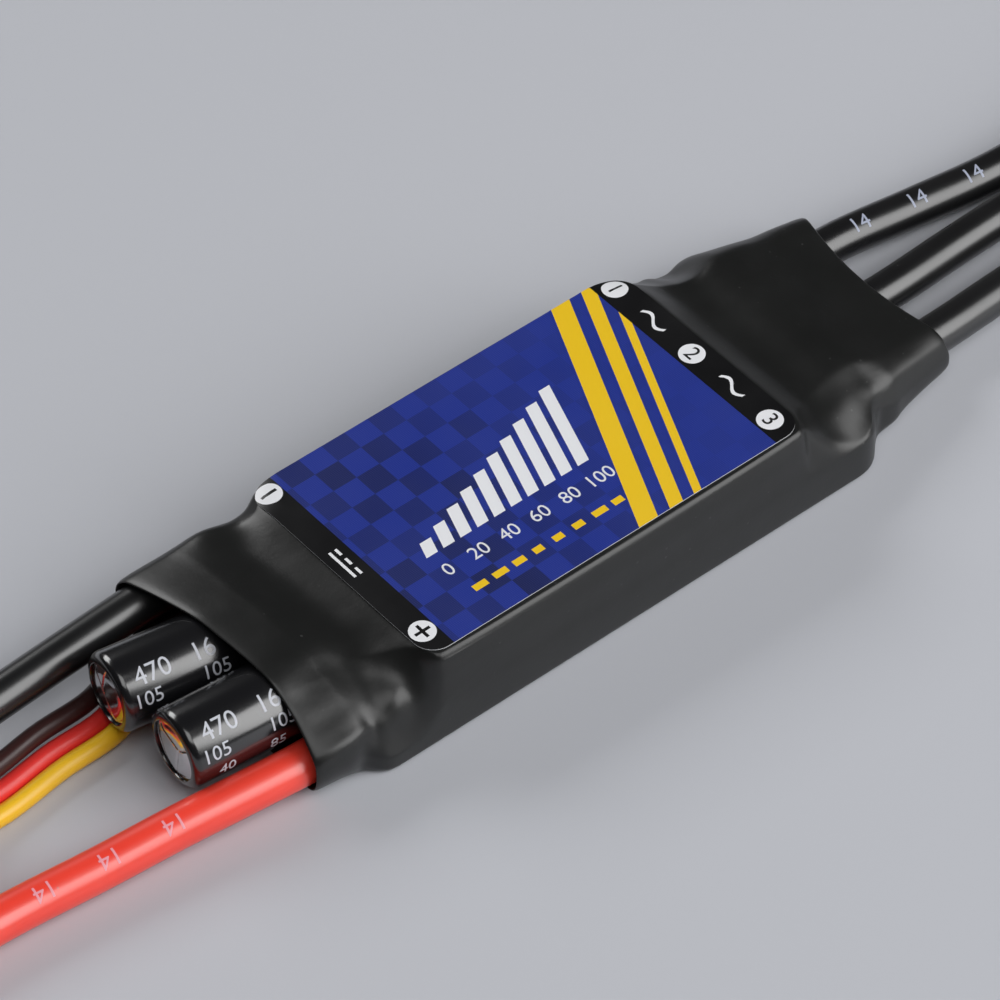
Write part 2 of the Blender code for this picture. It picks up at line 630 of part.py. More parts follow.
def make_capacitors():
    sleeve_radius = CAP_DIAMETER / 2
    can_radius = sleeve_radius - CAP_SLEEVE_WALL - FIT / 2
    bung_radius = can_radius - CAP_GROOVE - FIT
    groove_at = CAP_BUNG_DEPTH / 2
    edge = CAP_EDGE
    lip = CAP_SLEEVE_WALL + FIT / 2
    can_end = CAP_LENGTH - lip
    can_profile = (
        (CAP_BUNG_DEPTH + FIT, 0.0), (CAP_BUNG_DEPTH + FIT, bung_radius), (FIT, bung_radius),
        (FIT, can_radius - CAP_GROOVE / 3), (groove_at - edge, can_radius),
        (groove_at, can_radius - CAP_GROOVE / 2), (groove_at + edge, can_radius),
        (can_end - edge, can_radius), (can_end - edge / 3, can_radius - edge / 3),
        (can_end, can_radius - edge), (can_end, 0.0),
    )
    bung_profile = ((0.0, 0.0), (0.0, bung_radius - FIT), (CAP_BUNG_DEPTH, bung_radius - FIT),
                    (CAP_BUNG_DEPTH, 0.0))
    sleeve_profile = (
        (0.0, sleeve_radius), (CAP_LENGTH - edge, sleeve_radius),
        (CAP_LENGTH - edge / 4, sleeve_radius - edge / 3), (CAP_LENGTH, sleeve_radius - edge),
        (CAP_LENGTH, can_radius - CAP_SLEEVE_LIP),
        (CAP_LENGTH - CAP_SLEEVE_WALL, can_radius - CAP_SLEEVE_LIP),
        (CAP_LENGTH - CAP_SLEEVE_WALL, can_radius - edge),
        (can_end - edge / 3 + FIT / 4, can_radius - edge / 3 + FIT / 4),
        (can_end - edge, sleeve_radius - CAP_SLEEVE_WALL), (0.0, sleeve_radius - CAP_SLEEVE_WALL),
    )
    for number, (base, direction) in enumerate(cap_frames(), 1):
        can = to_object(f"capacitor_can_{number}", turned(can_profile, TURN_STEPS), aluminium(), 40)
        point_along(can, base, direction)
        vent = to_object(f"vent_score_{number}", vent_cutter(can_end), aluminium())
        point_along(vent, base, direction)
        cut(can, vent)
        bung = to_object(f"capacitor_bung_{number}", turned(bung_profile, TURN_STEPS), rubber(), 40)
        point_along(bung, base, direction)
        sleeve = to_object(f"capacitor_sleeve_{number}", turned(sleeve_profile, TURN_STEPS),
                           capacitor_film(), 40)
        point_along(sleeve, base, direction)
    for number, ((base, direction), pair) in enumerate(zip(cap_frames(), cap_lead_ys()), 1):
        for lead_number, (side, y) in enumerate(zip((-1, 1), pair), 1):
            make_cap_lead(f"capacitor_lead_{number}_{lead_number}", base, direction, side, y)


def vent_cutter(can_end):
    """Three score lines that meet in the middle of the vent end, as one prism."""
    half = CAP_VENT_WIDTH / 2
    notch = half / math.cos(math.radians(30))
    points = []
    for arm in range(3):
        angle = math.radians(90 + 120 * arm)
        along = Vector((math.cos(angle), math.sin(angle)))
        across = Vector((-along.y, along.x))
        inward = math.radians(30 + 120 * arm)
        points.append(Vector((math.cos(inward), math.sin(inward))) * notch)
        points.append(along * CAP_VENT_REACH - across * half)
        points.append(along * CAP_VENT_REACH + across * half)
    bm = prism([(point.x, point.y) for point in points], can_end - CAP_VENT_DEPTH, can_end + CAP_VENT_DEPTH)
    bmesh.ops.rotate(bm, cent=(0, 0, 0), matrix=Matrix.Rotation(math.radians(90), 3, "Y"), verts=bm.verts[:])
    return bm


def make_cap_lead(name, base, direction, side, y):
    """A lead from the bung straight back, then down through its hole in the control board."""
    across = Vector((-direction.y, direction.x, 0.0)).normalized()
    start = base - direction * BUTT_GAP - across * side * CAP_LEAD_PITCH / 2
    bend = CAP_LEAD_BEND
    share = (CAP_LEAD_X - bend - start.x) / (CAP_LEAD_X - start.x)
    corner = Vector((CAP_LEAD_X, y, start.z))
    entry = start.lerp(corner, share)
    points = [start, entry]
    for step in range(1, CORNER_STEPS + 1):
        angle = math.radians(90.0 * step / CORNER_STEPS)
        points.append(Vector((entry.x + bend * math.sin(angle), y, start.z - bend * (1 - math.cos(angle)))))
    points.append(Vector((CAP_LEAD_X, y, FLOOR + CAP_LEAD_STOP)))
    add_tube(name, points, CAP_LEAD_DIAMETER, tinned_steel())


# Wires

def add_tube(name, points, diameter, look, radii=None, resolution=2):
    """A round tube along a list of points, with closed ends."""
    curve = bpy.data.curves.new(name, "CURVE")
    curve.dimensions = "3D"
    curve.bevel_depth = diameter / 2
    curve.bevel_resolution = resolution
    curve.use_fill_caps = True
    spline = curve.splines.new("POLY")
    spline.points.add(len(points) - 1)
    for index, point in enumerate(points):
        spline.points[index].co = (*point, 1.0)
        if radii is not None:
            spline.points[index].radius = radii[index]
    spline.use_smooth = True
    return add_object(name, curve, look)


def smooth_route(points, spacing):
    """Points at about a given spacing on a smooth curve that passes through the route's own points."""
    knots = [Vector(point) for point in points]
    knots = [2 * knots[0] - knots[1]] + knots + [2 * knots[-1] - knots[-2]]
    route = []
    for before, start, end, after in zip(knots, knots[1:], knots[2:], knots[3:]):
        times = [0.0]
        for first, second in ((before, start), (start, end), (end, after)):
            times.append(times[-1] + math.sqrt((second - first).length))
        steps = max(1, math.ceil((end - start).length / spacing))
        for step in range(steps):
            route.append(curve_point((before, start, end, after), times, step / steps))
    route.append(knots[-2])
    return route


def curve_point(knots, times, share):
    """A point on the centripetal curve between the second and the third of four knots."""
    now = times[1] + (times[2] - times[1]) * share
    points = list(knots)
    for order in (1, 2):
        points = [first.lerp(second, (now - times[index]) / (times[index + order] - times[index]))
                  for index, (first, second) in enumerate(zip(points, points[1:]))]
    return points[0].lerp(points[1], share)


def straight_end(end, side, length, diameter):
    """The last points of a route that runs straight along X into a plug, coming from one side."""
    back = Vector((side, 0.0, 0.0))
    return tuple(end + back * distance for distance in (length + diameter, length + diameter / 4, 0.0))


def strip_end(route, length):
    """Split a route where its insulation starts: points, and whether each is bare."""
    gone = 0.0
    for index in range(1, len(route)):
        step = (route[index] - route[index - 1]).length
        if gone + step > length + STRIP_STEP:
            cut_at = route[index - 1].lerp(route[index], (length - gone) / step)
            face = route[index - 1].lerp(route[index], (length - gone + STRIP_STEP) / step)
            return route[:index] + [cut_at, face] + route[index:], index + 1
        gone += step
    return route, 0


def add_wire(name, route, diameter, core, bare_start, look):
    """An insulated wire with a bare soldered end; returns its points and their radii."""
    points, bare = strip_end(route, bare_start)
    radii = [core / diameter] * bare + [1.0] * (len(points) - bare)
    add_tube(name, points, diameter, look, radii)
    return points, [radius * diameter / 2 for radius in radii]


def make_motor_wires():
    wires = []
    bare = BOARD_MOTOR_END - MOTOR_PAD_X + 2 * BUTT_GAP
    for number, start in enumerate(MOTOR_ROUTES, 1):
        end = motor_lead_end(number)
        points = start + straight_end(end, -1, BULLET_SLEEVE_OVERLAP, POWER_WIRE)
        route = smooth_route(points, ROUTE_SPACING * POWER_WIRE)
        wires.append(add_wire(f"motor_wire_{number}", route, POWER_WIRE, POWER_CORE, bare, silicone_black()))
    return wires


def make_battery_wires():
    wires = []
    ends = battery_lead_ends()
    for name, start, bare, end, look in (
        ("battery_wire_negative", BATTERY_ROUTE_NEGATIVE, NEGATIVE_BARE, ends[0], silicone_black()),
        ("battery_wire_positive", BATTERY_ROUTE_POSITIVE, BATTERY_PAD_X - CONTROL_BATTERY_END + BUTT_GAP,
         ends[1], silicone_red()),
    ):
        points = start + straight_end(end, 1, BATTERY_TUBE_OVERLAP, POWER_WIRE)
        route = smooth_route(points, ROUTE_SPACING * POWER_WIRE)
        wires.append(add_wire(name, route, POWER_WIRE, POWER_CORE, bare, look))
    return wires


def fold_route(level):
    """The folded stretch of one servo wire: out, a half turn, back, a half turn inside it, and out."""
    z = FOLD_LOW_Z + level * FOLD_WIRE_PITCH
    tie_ends = (TIE_X + 2 * TIE_LENGTH, TIE_X - 2 * TIE_LENGTH)
    out = [(x, FOLD_OUT_Y, z) for x in (FOLD_NEAR, *tie_ends)]
    back = [(x, FOLD_BACK_Y, z) for x in reversed(tie_ends)]
    last = [(x, FOLD_LAST_Y, z) for x in tie_ends]
    far_turn = half_turn(FOLD_FAR, FOLD_OUT_Y, FOLD_BACK_Y, z, -1)
    near_turn = half_turn(FOLD_NEAR, FOLD_BACK_Y, FOLD_LAST_Y, z, 1)
    return tuple(out + far_turn + back + near_turn + last)


def half_turn(x, first_y, last_y, z, side):
    """Points of a level half turn round (x, middle of the two runs), on one side of it along X."""
    radius = abs(last_y - first_y) / 2
    turn = math.copysign(math.pi, last_y - first_y)
    points = []
    for step in range(FOLD_TURN_STEPS + 1):
        angle = turn * (step / FOLD_TURN_STEPS - 0.5)
        points.append((x + side * radius * math.cos(angle),
                       (first_y + last_y) / 2 + radius * math.sin(angle), z))
    return points


def make_servo_wires():
    wires = []
    bare = SERVO_PAD_X - CONTROL_BATTERY_END + 2 * BUTT_GAP
    looks = (vinyl("vinyl_yellow", (0.83, 0.40, 0.010)), vinyl("vinyl_red", (0.62, 0.022, 0.018)),
             vinyl("vinyl_brown", (0.045, 0.014, 0.012)))
    for level, (name, start, look) in enumerate(zip(SERVO_NAMES, SERVO_ROUTES, looks)):
        contact_z = servo_plug_centre().z + (level - 1) * SERVO_PITCH
        end = Vector((SERVO_PLUG_X - SERVO_WIRE_DEPTH, FOLD_LAST_Y, contact_z))
        last = straight_end(end, 1, SERVO_WIRE_DEPTH, SERVO_WIRE)
        route = smooth_route(start + fold_route(level) + last, ROUTE_SPACING * SERVO_WIRE)
        print(f"{name}: least gap to itself {1000 * least_gap(route, SERVO_WIRE):.2f} mm")
        wires.append(add_wire(name, route, SERVO_WIRE, SERVO_CORE, bare, look))
    return wires


def least_gap(route, diameter):
    """The smallest clear distance between stretches of a route that are not neighbours."""
    fine = []
    for first, second in zip(route, route[1:]):
        steps = max(1, math.ceil((second - first).length / (diameter / 4)))
        fine.extend(first.lerp(second, step / steps) for step in range(steps))
    places = np.array(fine)
    lengths = np.concatenate(([0.0], np.cumsum(np.linalg.norm(np.diff(places, axis=0), axis=1))))
    apart = np.linalg.norm(places[:, None] - places[None, :], axis=2)
    far_along = np.abs(lengths[:, None] - lengths[None, :]) > math.pi * diameter
    return float(apart[far_along].min()) - diameter


# Bullet sockets on the motor leads

def bullet_sleeve_radius():
    return BULLET_DIAMETER / 2 + FIT / 2 + BULLET_SLEEVE_WALL


def motor_lead_end(number):
    return Vector((MOTOR_LEAD_END, MOTOR_LEAD_SHIFT + (2 - number) * MOTOR_LEAD_PITCH,
                   bullet_sleeve_radius() + SOLDER_GAP))


def make_bullets():
    outer = BULLET_DIAMETER / 2
    bore = BULLET_BORE / 2
    cup = POWER_WIRE / 2 - SOLDER_GAP
    edge = (outer - bore) / 2
    socket = (
        (BULLET_CUP_DEPTH, 0.0), (BULLET_CUP_DEPTH, cup), (0.0, cup), (0.0, outer - edge), (edge, outer),
        (BULLET_LENGTH - edge, outer), (BULLET_LENGTH, outer - edge), (BULLET_LENGTH, bore + edge),
        (BULLET_LENGTH - edge, bore), (BULLET_LENGTH - BULLET_BORE_DEPTH, bore),
        (BULLET_LENGTH - BULLET_BORE_DEPTH - bore / 2, 0.0),
    )
    inner = outer + FIT / 2
    neck = POWER_WIRE / 2 + FIT / 2
    wall = BULLET_SLEEVE_WALL
    back = -BULLET_SLEEVE_OVERLAP
    shoulder = -BUTT_GAP - 2 * wall
    front = BULLET_LENGTH - edge
    sleeve = (
        (back, neck + wall), (shoulder - 2 * wall, neck + wall), (shoulder + wall, inner + wall),
        (front, inner + wall), (front, inner), (shoulder + wall, inner), (shoulder - 2 * wall, neck),
        (back, neck),
    )
    for number in (1, 2, 3):
        place = motor_lead_end(number) + Vector((BUTT_GAP, 0.0, 0.0))
        bullet = to_object(f"bullet_socket_{number}", turned(socket, SMALL_TURN_STEPS), brass(), 40)
        bullet.location = place
        cover = to_object(f"bullet_sleeve_{number}", turned(sleeve, SMALL_TURN_STEPS), shrink_film(), 40)
        cover.location = place


# Battery plug

def battery_lead_ends():
    """Ends of the negative and of the positive battery wire."""
    height = BATTERY_HOUSING_HEIGHT / 2 + SOLDER_GAP
    return [Vector((BATTERY_LEAD_END, BATTERY_PLUG_SHIFT + side * BATTERY_BLADE_PITCH / 2, height))
            for side in (1, -1)]


def make_battery_plug():
    ends = battery_lead_ends()
    rear = BATTERY_LEAD_END - BUTT_GAP - BATTERY_TAG_LENGTH
    front = rear - BATTERY_HOUSING_LENGTH
    middle = (ends[0] + ends[1]) / 2
    housing = to_object("battery_plug_housing", housing_body(), plug_nylon())
    housing.location = ((rear + front) / 2, middle.y, middle.z)
    for name, end, is_flat in (("negative", ends[0], True), ("positive", ends[1], False)):
        tip = front - BATTERY_BLADE_LENGTH
        blade = to_object(f"battery_plug_blade_{name}", blade_body(rear, front, tip), brass())
        blade.location = (0.0, end.y, end.z)
        slot_size = (2 * BATTERY_HOUSING_LENGTH, BATTERY_BLADE_WIDTH + FIT, BATTERY_BLADE_THICKNESS + FIT)
        slot = to_object(f"blade_slot_{name}", block(slot_size, (0.0, 0.0, 0.0)), plug_nylon())
        slot.location = ((rear + front) / 2, end.y, end.z)
        if not is_flat:
            blade.rotation_euler.x = math.pi / 2
            slot.rotation_euler.x = math.pi / 2
        cut(housing, slot)
        inner = POWER_WIRE / 2 + FIT / 2
        outer = inner + BATTERY_TUBE_WALL
        length = BATTERY_TAG_LENGTH + BATTERY_TUBE_OVERLAP
        profile = ((0.0, inner), (0.0, outer), (length, outer), (length, inner))
        tube = to_object(f"battery_tube_{name}", turned(profile, SMALL_TURN_STEPS), shrink_film(), 40)
        tube.location = (rear + BUTT_GAP, end.y, end.z)


def housing_body():
    """The plug's body: a rounded block with grip ribs on its two short sides."""
    outline = rounded_rectangle(BATTERY_HOUSING_WIDTH, BATTERY_HOUSING_HEIGHT, BATTERY_HOUSING_EDGE)
    bm = prism(outline, -BATTERY_HOUSING_LENGTH / 2, BATTERY_HOUSING_LENGTH / 2)
    spacing = BATTERY_HOUSING_LENGTH / (2 * BATTERY_RIBS + 1)
    for step in range(1, 2 * BATTERY_RIBS + 1):
        bmesh.ops.bisect_plane(bm, geom=bm.verts[:] + bm.edges[:] + bm.faces[:],
                               plane_co=(0.0, 0.0, step * spacing - BATTERY_HOUSING_LENGTH / 2),
                               plane_no=(0.0, 0.0, 1.0))
    bm.normal_update()
    for face in list(bm.faces):
        middle = face.calc_center_median()
        band = int((middle.z / BATTERY_HOUSING_LENGTH + 0.5) * (2 * BATTERY_RIBS + 1))
        if abs(face.normal.x) > 0.99 and band % 2 == 1:
            draw_out(bm, [face], -face.normal * BATTERY_RIB_DEPTH)
    bmesh.ops.rotate(bm, cent=(0, 0, 0), matrix=Matrix.Rotation(math.pi / 2, 3, "Y"), verts=bm.verts[:])
    bmesh.ops.rotate(bm, cent=(0, 0, 0), matrix=Matrix.Rotation(math.pi / 2, 3, "X"), verts=bm.verts[:])
    return bm


def blade_body(rear, front, tip):
    """A flat blade with a pointed nose in front of the housing and a narrow solder tag behind it."""
    half = BATTERY_BLADE_WIDTH / 2
    tag = BATTERY_TAG_WIDTH / 2
    nose = BATTERY_BLADE_NOSE
    outline = ((rear + BATTERY_TAG_LENGTH, -tag), (rear + BATTERY_TAG_LENGTH, tag), (rear, tag), (rear, half),
               (tip + nose, half), (tip, half - nose), (tip, nose - half), (tip + nose, -half), (rear, -half),
               (rear, -tag))
    return prism(outline, -BATTERY_BLADE_THICKNESS / 2, BATTERY_BLADE_THICKNESS / 2)


# Servo plug and the tie round the folded lead

def servo_plug_centre():
    return Vector((SERVO_PLUG_X - SERVO_PLUG_LENGTH / 2, FOLD_LAST_Y, SERVO_PLUG_HEIGHT / 2 + SOLDER_GAP))


def make_servo_plug():
    centre = servo_plug_centre()
    size = (SERVO_PLUG_LENGTH, SERVO_PLUG_THICKNESS, SERVO_PLUG_HEIGHT)
    housing = to_object("servo_plug_housing", block(size, (0.0, 0.0, 0.0)), black_nylon())
    housing.location = centre
    round_edges(housing, SERVO_PLUG_EDGE)
    room = SERVO_WIRE + FIT
    for level in range(3):
        z = (level - 1) * SERVO_PITCH
        room_size = (2 * SERVO_PLUG_LENGTH, room, room)
        cavity = to_object(f"contact_cavity_{level + 1}", block(room_size, (0.0, 0.0, 0.0)), black_nylon())
        cavity.location = centre + Vector((0.0, 0.0, z))
        cut(housing, cavity)
        contact = to_object(f"servo_plug_contact_{level + 1}", contact_body(), brass())
        contact.location = (SERVO_PLUG_X - SERVO_WIRE_DEPTH - BUTT_GAP, FOLD_LAST_Y, centre.z + z)


def contact_body():
    """A square socket that opens towards the front of the plug."""
    length = SERVO_PLUG_LENGTH - SERVO_WIRE_DEPTH - 3 * BUTT_GAP
    bm = block((length, SERVO_CONTACT, SERVO_CONTACT), (-length / 2, 0.0, 0.0))
    bm.normal_update()
    front = [face for face in bm.faces if face.normal.x < -0.9]
    inset = (SERVO_CONTACT - SERVO_CONTACT_BORE) / 2
    bmesh.ops.inset_region(bm, faces=front, thickness=inset)
    draw_out(bm, front, (SERVO_CONTACT_DEPTH, 0.0, 0.0))
    return bm


def make_tie():
    """A soft band round all three runs of the folded servo lead."""
    inner_width = FOLD_OUT_Y - FOLD_BACK_Y + SERVO_WIRE + 2 * FIT
    inner_height = 2 * FOLD_WIRE_PITCH + SERVO_WIRE + 2 * FIT
    corner = SERVO_WIRE / 2
    inner = rounded_rectangle(inner_width, inner_height, corner)
    outer = rounded_rectangle(inner_width + 2 * TIE_WALL, inner_height + 2 * TIE_WALL, corner + TIE_WALL)
    bm = bmesh.new()
    rings = []
    for outline in (outer, inner):
        for x in (-TIE_LENGTH / 2, TIE_LENGTH / 2):
            rings.append([bm.verts.new((x, y, z)) for y, z in outline])
    for first, second in ((0, 1), (1, 3), (3, 2), (2, 0)):
        join_rings(bm, rings[first], rings[second])
    tie = to_object("servo_lead_tie", bm, black_nylon(), 40)
    tie.location = (TIE_X, (FOLD_OUT_Y + FOLD_BACK_Y) / 2, FOLD_LOW_Z + FOLD_WIRE_PITCH)


def join_rings(bm, first, second):
    for index in range(len(first)):
        after = (index + 1) % len(first)
        bm.faces.new((first[index], first[after], second[after], second[index]))


# Heat-shrink sleeve: a film that is drawn in on its contents and bridges the steps between them

def film_grid():
    count = round((SLEEVE_MAX - SLEEVE_MIN) / FILM_STEP)
    return np.linspace(SLEEVE_MIN, SLEEVE_MAX, count + 1)


def film_normals():
    angles = 2 * np.pi * np.arange(SLEEVE_DIRECTIONS) / SLEEVE_DIRECTIONS
    return np.stack((np.cos(angles), np.sin(angles)), axis=1)


def box_reach(stations, normals, x_range, half_width, bottom, top):
    """How far a box reaches in each direction, at each station that it covers."""
    corners = np.array([(side * half_width, z) for side in (-1, 1) for z in (bottom, top)])
    reach = (corners @ normals.T).max(axis=0)
    covers = (stations > x_range[0] - FILM_STEP) & (stations < x_range[1] + FILM_STEP)
    return np.where(covers[:, None], reach[None, :], -1.0)


def tube_reach(stations, normals, points, radii):
    """How far a tube reaches in each direction, at each station, as a row of balls along it."""
    reach = np.full((len(stations), len(normals)), -1.0)
    for start, end, first, last in zip(points, points[1:], radii, radii[1:]):
        steps = max(1, math.ceil((end - start).length / FILM_STEP))
        for step in range(steps + 1):
            middle = start.lerp(end, step / steps)
            size = first + (last - first) * step / steps
            low, high = np.searchsorted(stations, (middle.x - size, middle.x + size))
            bulge = np.sqrt(np.maximum(0.0, size ** 2 - (stations[low:high] - middle.x) ** 2))
            across = middle.y * normals[:, 0] + middle.z * normals[:, 1]
            reach[low:high] = np.maximum(reach[low:high], across[None, :] + bulge[:, None])
    return reach


def plate_corner_steps():
    """How far the plate's round corners stand in from its ends and from its sides, at three points."""
    turns = [math.radians(angle) for angle in (0.0, 45.0, 90.0)]
    return [(PLATE_CORNER * (1 - math.cos(turn)), PLATE_CORNER * (1 - math.sin(turn))) for turn in turns]


def film_heights(stations, normals, wires):
    """Distance from the X axis to the film's outer side, for each station and direction."""
    inside = [
        box_reach(stations, normals, (SWITCH_BATTERY_END, BOARD_MOTOR_END), SWITCH_BOARD_WIDTH / 2,
                  SWITCH_BOTTOM, SWITCH_TOP),
        box_reach(stations, normals, (CONTROL_BATTERY_END, BOARD_MOTOR_END), CONTROL_BOARD_WIDTH / 2,
                  FLOOR, CONTROL_TOP),
        box_reach(stations, normals, (stations[0], stations[-1]), UNDERSIDE_FLAT / 2, FLOOR, CONTROL_TOP),
    ]
    for inset_x, inset_y in plate_corner_steps():
        inside.append(box_reach(stations, normals, (PLATE_MIN + inset_x, PLATE_MAX - inset_x),
                                PLATE_WIDTH / 2 - inset_y, FLOOR, PLATE_TOP))
    for points, radii in wires:
        near = [index for index, point in enumerate(points[:first_turn(points)])
                if point[0] > stations[0] - SLEEVE_WIRE_REACH]
        inside.append(tube_reach(stations, normals, [points[index] for index in near],
                                 [radii[index] for index in near]))
    for base, direction in cap_frames():
        ends = [base, base + direction * CAP_LENGTH]
        inside.append(tube_reach(stations, normals, ends, [CAP_DIAMETER / 2] * 2))
    needed = np.max(inside, axis=0) + FIT + SLEEVE_WALL
    half_height = SLEEVE_SHRUNK_HEIGHT / 2
    flat = SLEEVE_SHRUNK_WIDTH / 2 - half_height
    rest = (SLEEVE_SHRUNK_SHIFT * normals[:, 0] + half_height * normals[:, 1]
            + flat * np.abs(normals[:, 0]) + half_height)
    heights = np.maximum(needed, rest)
    pull = (FILM_STEP / SLEEVE_BRIDGE) ** 2
    for _ in range(FILM_ROUNDS):
        sides = np.concatenate((heights[:1], heights[:-1])) + np.concatenate((heights[1:], heights[-1:]))
        heights = np.maximum(needed, (sides + pull * rest) / (2 + pull))
    return heights


def first_turn(points):
    """Index at which a route first turns back along X."""
    side = math.copysign(1.0, points[1][0] - points[0][0])
    for index in range(1, len(points)):
        if side * (points[index][0] - points[index - 1][0]) < -STRIP_STEP:
            return index
    return len(points)


def film_section(reach, normals):
    """Outline of the film at one station, with points gathered where it turns."""
    middle = np.array((SLEEVE_SHRUNK_SHIFT, SLEEVE_SHRUNK_HEIGHT / 2))
    angles = -np.pi / 2 + 2 * np.pi * np.arange(SLEEVE_RAYS + 1) / SLEEVE_RAYS
    rays = np.stack((np.cos(angles), np.sin(angles)), axis=1)
    facing = rays @ normals.T
    room = (reach - normals @ middle)[None, :]
    least = SLEEVE_LEAST_FACING
    with np.errstate(divide="ignore"):
        lengths = np.where(facing > least, room / np.maximum(facing, least), np.inf).min(axis=1)
    outline = middle + rays * lengths[:, None]
    sides = np.diff(outline, axis=0)
    spans = np.linalg.norm(sides, axis=1)
    headings = np.unwrap(np.arctan2(sides[:, 1], sides[:, 0]))
    turns = np.abs(np.diff(headings, prepend=headings[0]))
    weights = spans / spans.sum() + SLEEVE_TURN_SHARE * turns / turns.sum()
    gathered = np.concatenate(([0.0], np.cumsum(weights)))
    wanted = (np.arange(SLEEVE_POINTS) + 0.5) / SLEEVE_POINTS * gathered[-1]
    return np.stack([np.interp(wanted, gathered, outline[:, axis]) for axis in (0, 1)], axis=1)


def sleeve_stations():
    """Places of the cross-sections: at every edge of the contents, and between them."""
    cap_bases = [base.x for base, _ in cap_frames()]
    insets = [inset_x for inset_x, _ in plate_corner_steps()]
    plate_flat = PLATE_MIN + PLATE_CORNER
    edges = [SLEEVE_MIN, *cap_bases, CONTROL_BATTERY_END, BOARD_MOTOR_END, SLEEVE_MAX]
    edges += [PLATE_MIN + inset for inset in insets] + [PLATE_MAX - inset for inset in insets]
    edges.sort()
    stations = []
    for start, end in zip(edges, edges[1:]):
        spacing = SLEEVE_PLATE_SPACING if plate_flat <= start < PLATE_SHIFT else SLEEVE_SPACING
        steps = max(1, math.ceil((end - start) / spacing))
        stations.extend(start + (end - start) * step / steps for step in range(steps))
    return stations + [edges[-1]]


def mouth_shift(x, y):
    """How far a point near a mouth is moved along X, for the slanted and the scalloped mouth."""
    across = (y - SLEEVE_SHRUNK_SHIFT) / (SLEEVE_SHRUNK_WIDTH / 2)
    if x < 0:
        fade = max(0.0, 1.0 - (x - SLEEVE_MIN) / SLEEVE_MOUTH_RAMP)
        return -fade * fade * SLEEVE_BATTERY_SKEW * max(0.0, (across + 1) / 2) ** 2
    fade = max(0.0, 1.0 - (SLEEVE_MAX - x) / SLEEVE_MOUTH_RAMP)
    return fade * fade * (SLEEVE_MOTOR_SCALLOP * across * across + SLEEVE_MOTOR_SKEW * across)


def make_sleeve(wires):
    """Loft the film through its sections, outside and inside; returns its top line for the label."""
    grid = film_grid()
    normals = film_normals()
    heights = film_heights(grid, normals, wires)
    bm = bmesh.new()
    loops = {SLEEVE_WALL: [], 0.0: []}
    stations = sleeve_stations()
    for x in stations:
        reach = np.array([np.interp(x, grid, heights[:, index]) for index in range(SLEEVE_DIRECTIONS)])
        for depth, rings in loops.items():
            section = film_section(reach - depth, normals)
            rings.append([bm.verts.new((x + mouth_shift(x, y), y, z)) for y, z in section])
    for rings in loops.values():
        for first, second in zip(rings, rings[1:]):
            join_rings(bm, first, second)
    for end in (0, -1):
        join_rings(bm, loops[0.0][end], loops[SLEEVE_WALL][end])
    to_object("heat_shrink_sleeve", bm, shrink_film(), 50)
    straight_up = SLEEVE_DIRECTIONS // 4
    return grid, heights[:, straight_up]


def make_label(top_line):
    """A thin printed sheet with round corners that lies on the film's top."""
    battery_end = PLATE_MIN - LABEL_BATTERY_OVERHANG
    motor_end = PLATE_MAX - LABEL_MOTOR_INSET
    half_width = PLATE_WIDTH / 2 + LABEL_SIDE_OVERHANG
    corner_angles = [math.pi / 2 * step / CORNER_STEPS for step in range(CORNER_STEPS + 1)]
    insets = [(LABEL_CORNER * (1 - math.sin(angle)), LABEL_CORNER * (1 - math.cos(angle)))
              for angle in corner_angles]
    stations = [(battery_end + inset_x, half_width - inset_y) for inset_x, inset_y in reversed(insets)]
    stations += [(motor_end - inset_x, half_width - inset_y) for inset_x, inset_y in insets]
    bm = bmesh.new()
    rings = []
    for x, half in stations:
        bottom = float(np.interp(x, *top_line)) + SOLDER_GAP
        corners = ((-half, bottom), (half, bottom), (half, bottom + LABEL_THICKNESS),
                   (-half, bottom + LABEL_THICKNESS))
        rings.append([bm.verts.new((x, y, z)) for y, z in corners])
    for first, second in zip(rings, rings[1:]):
        join_rings(bm, first, second)
    bm.faces.new(rings[0])
    bm.faces.new(rings[-1])
    to_object("label", bm, label_print())


def main():
    clear_scene()
    root = bpy.data.objects.new(ROOT_NAME, None)
    bpy.context.scene.collection.objects.link(root)
    make_boards()
    make_heat_sink()
    make_transistors()
    make_control_parts()
    make_posts()
    make_capacitors()
    wires = make_motor_wires() + make_battery_wires() + make_servo_wires()
    make_bullets()
    make_battery_plug()
    make_servo_plug()
    make_tie()
    make_label(make_sleeve(wires))


main()
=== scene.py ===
"""Looks of an electronic speed controller: sleeve, label, capacitors, leads, plugs, stage and camera.

Units are metres, in the frame of the solids: +X to the motor leads, +Y to the black battery wire, +Z up.
"""

import json
import math
from contextlib import contextmanager

import bpy
import numpy as np
from bpy.props import FloatProperty, FloatVectorProperty, PointerProperty
from bpy.types import Operator, Panel, PropertyGroup
from mathutils import Matrix, Vector


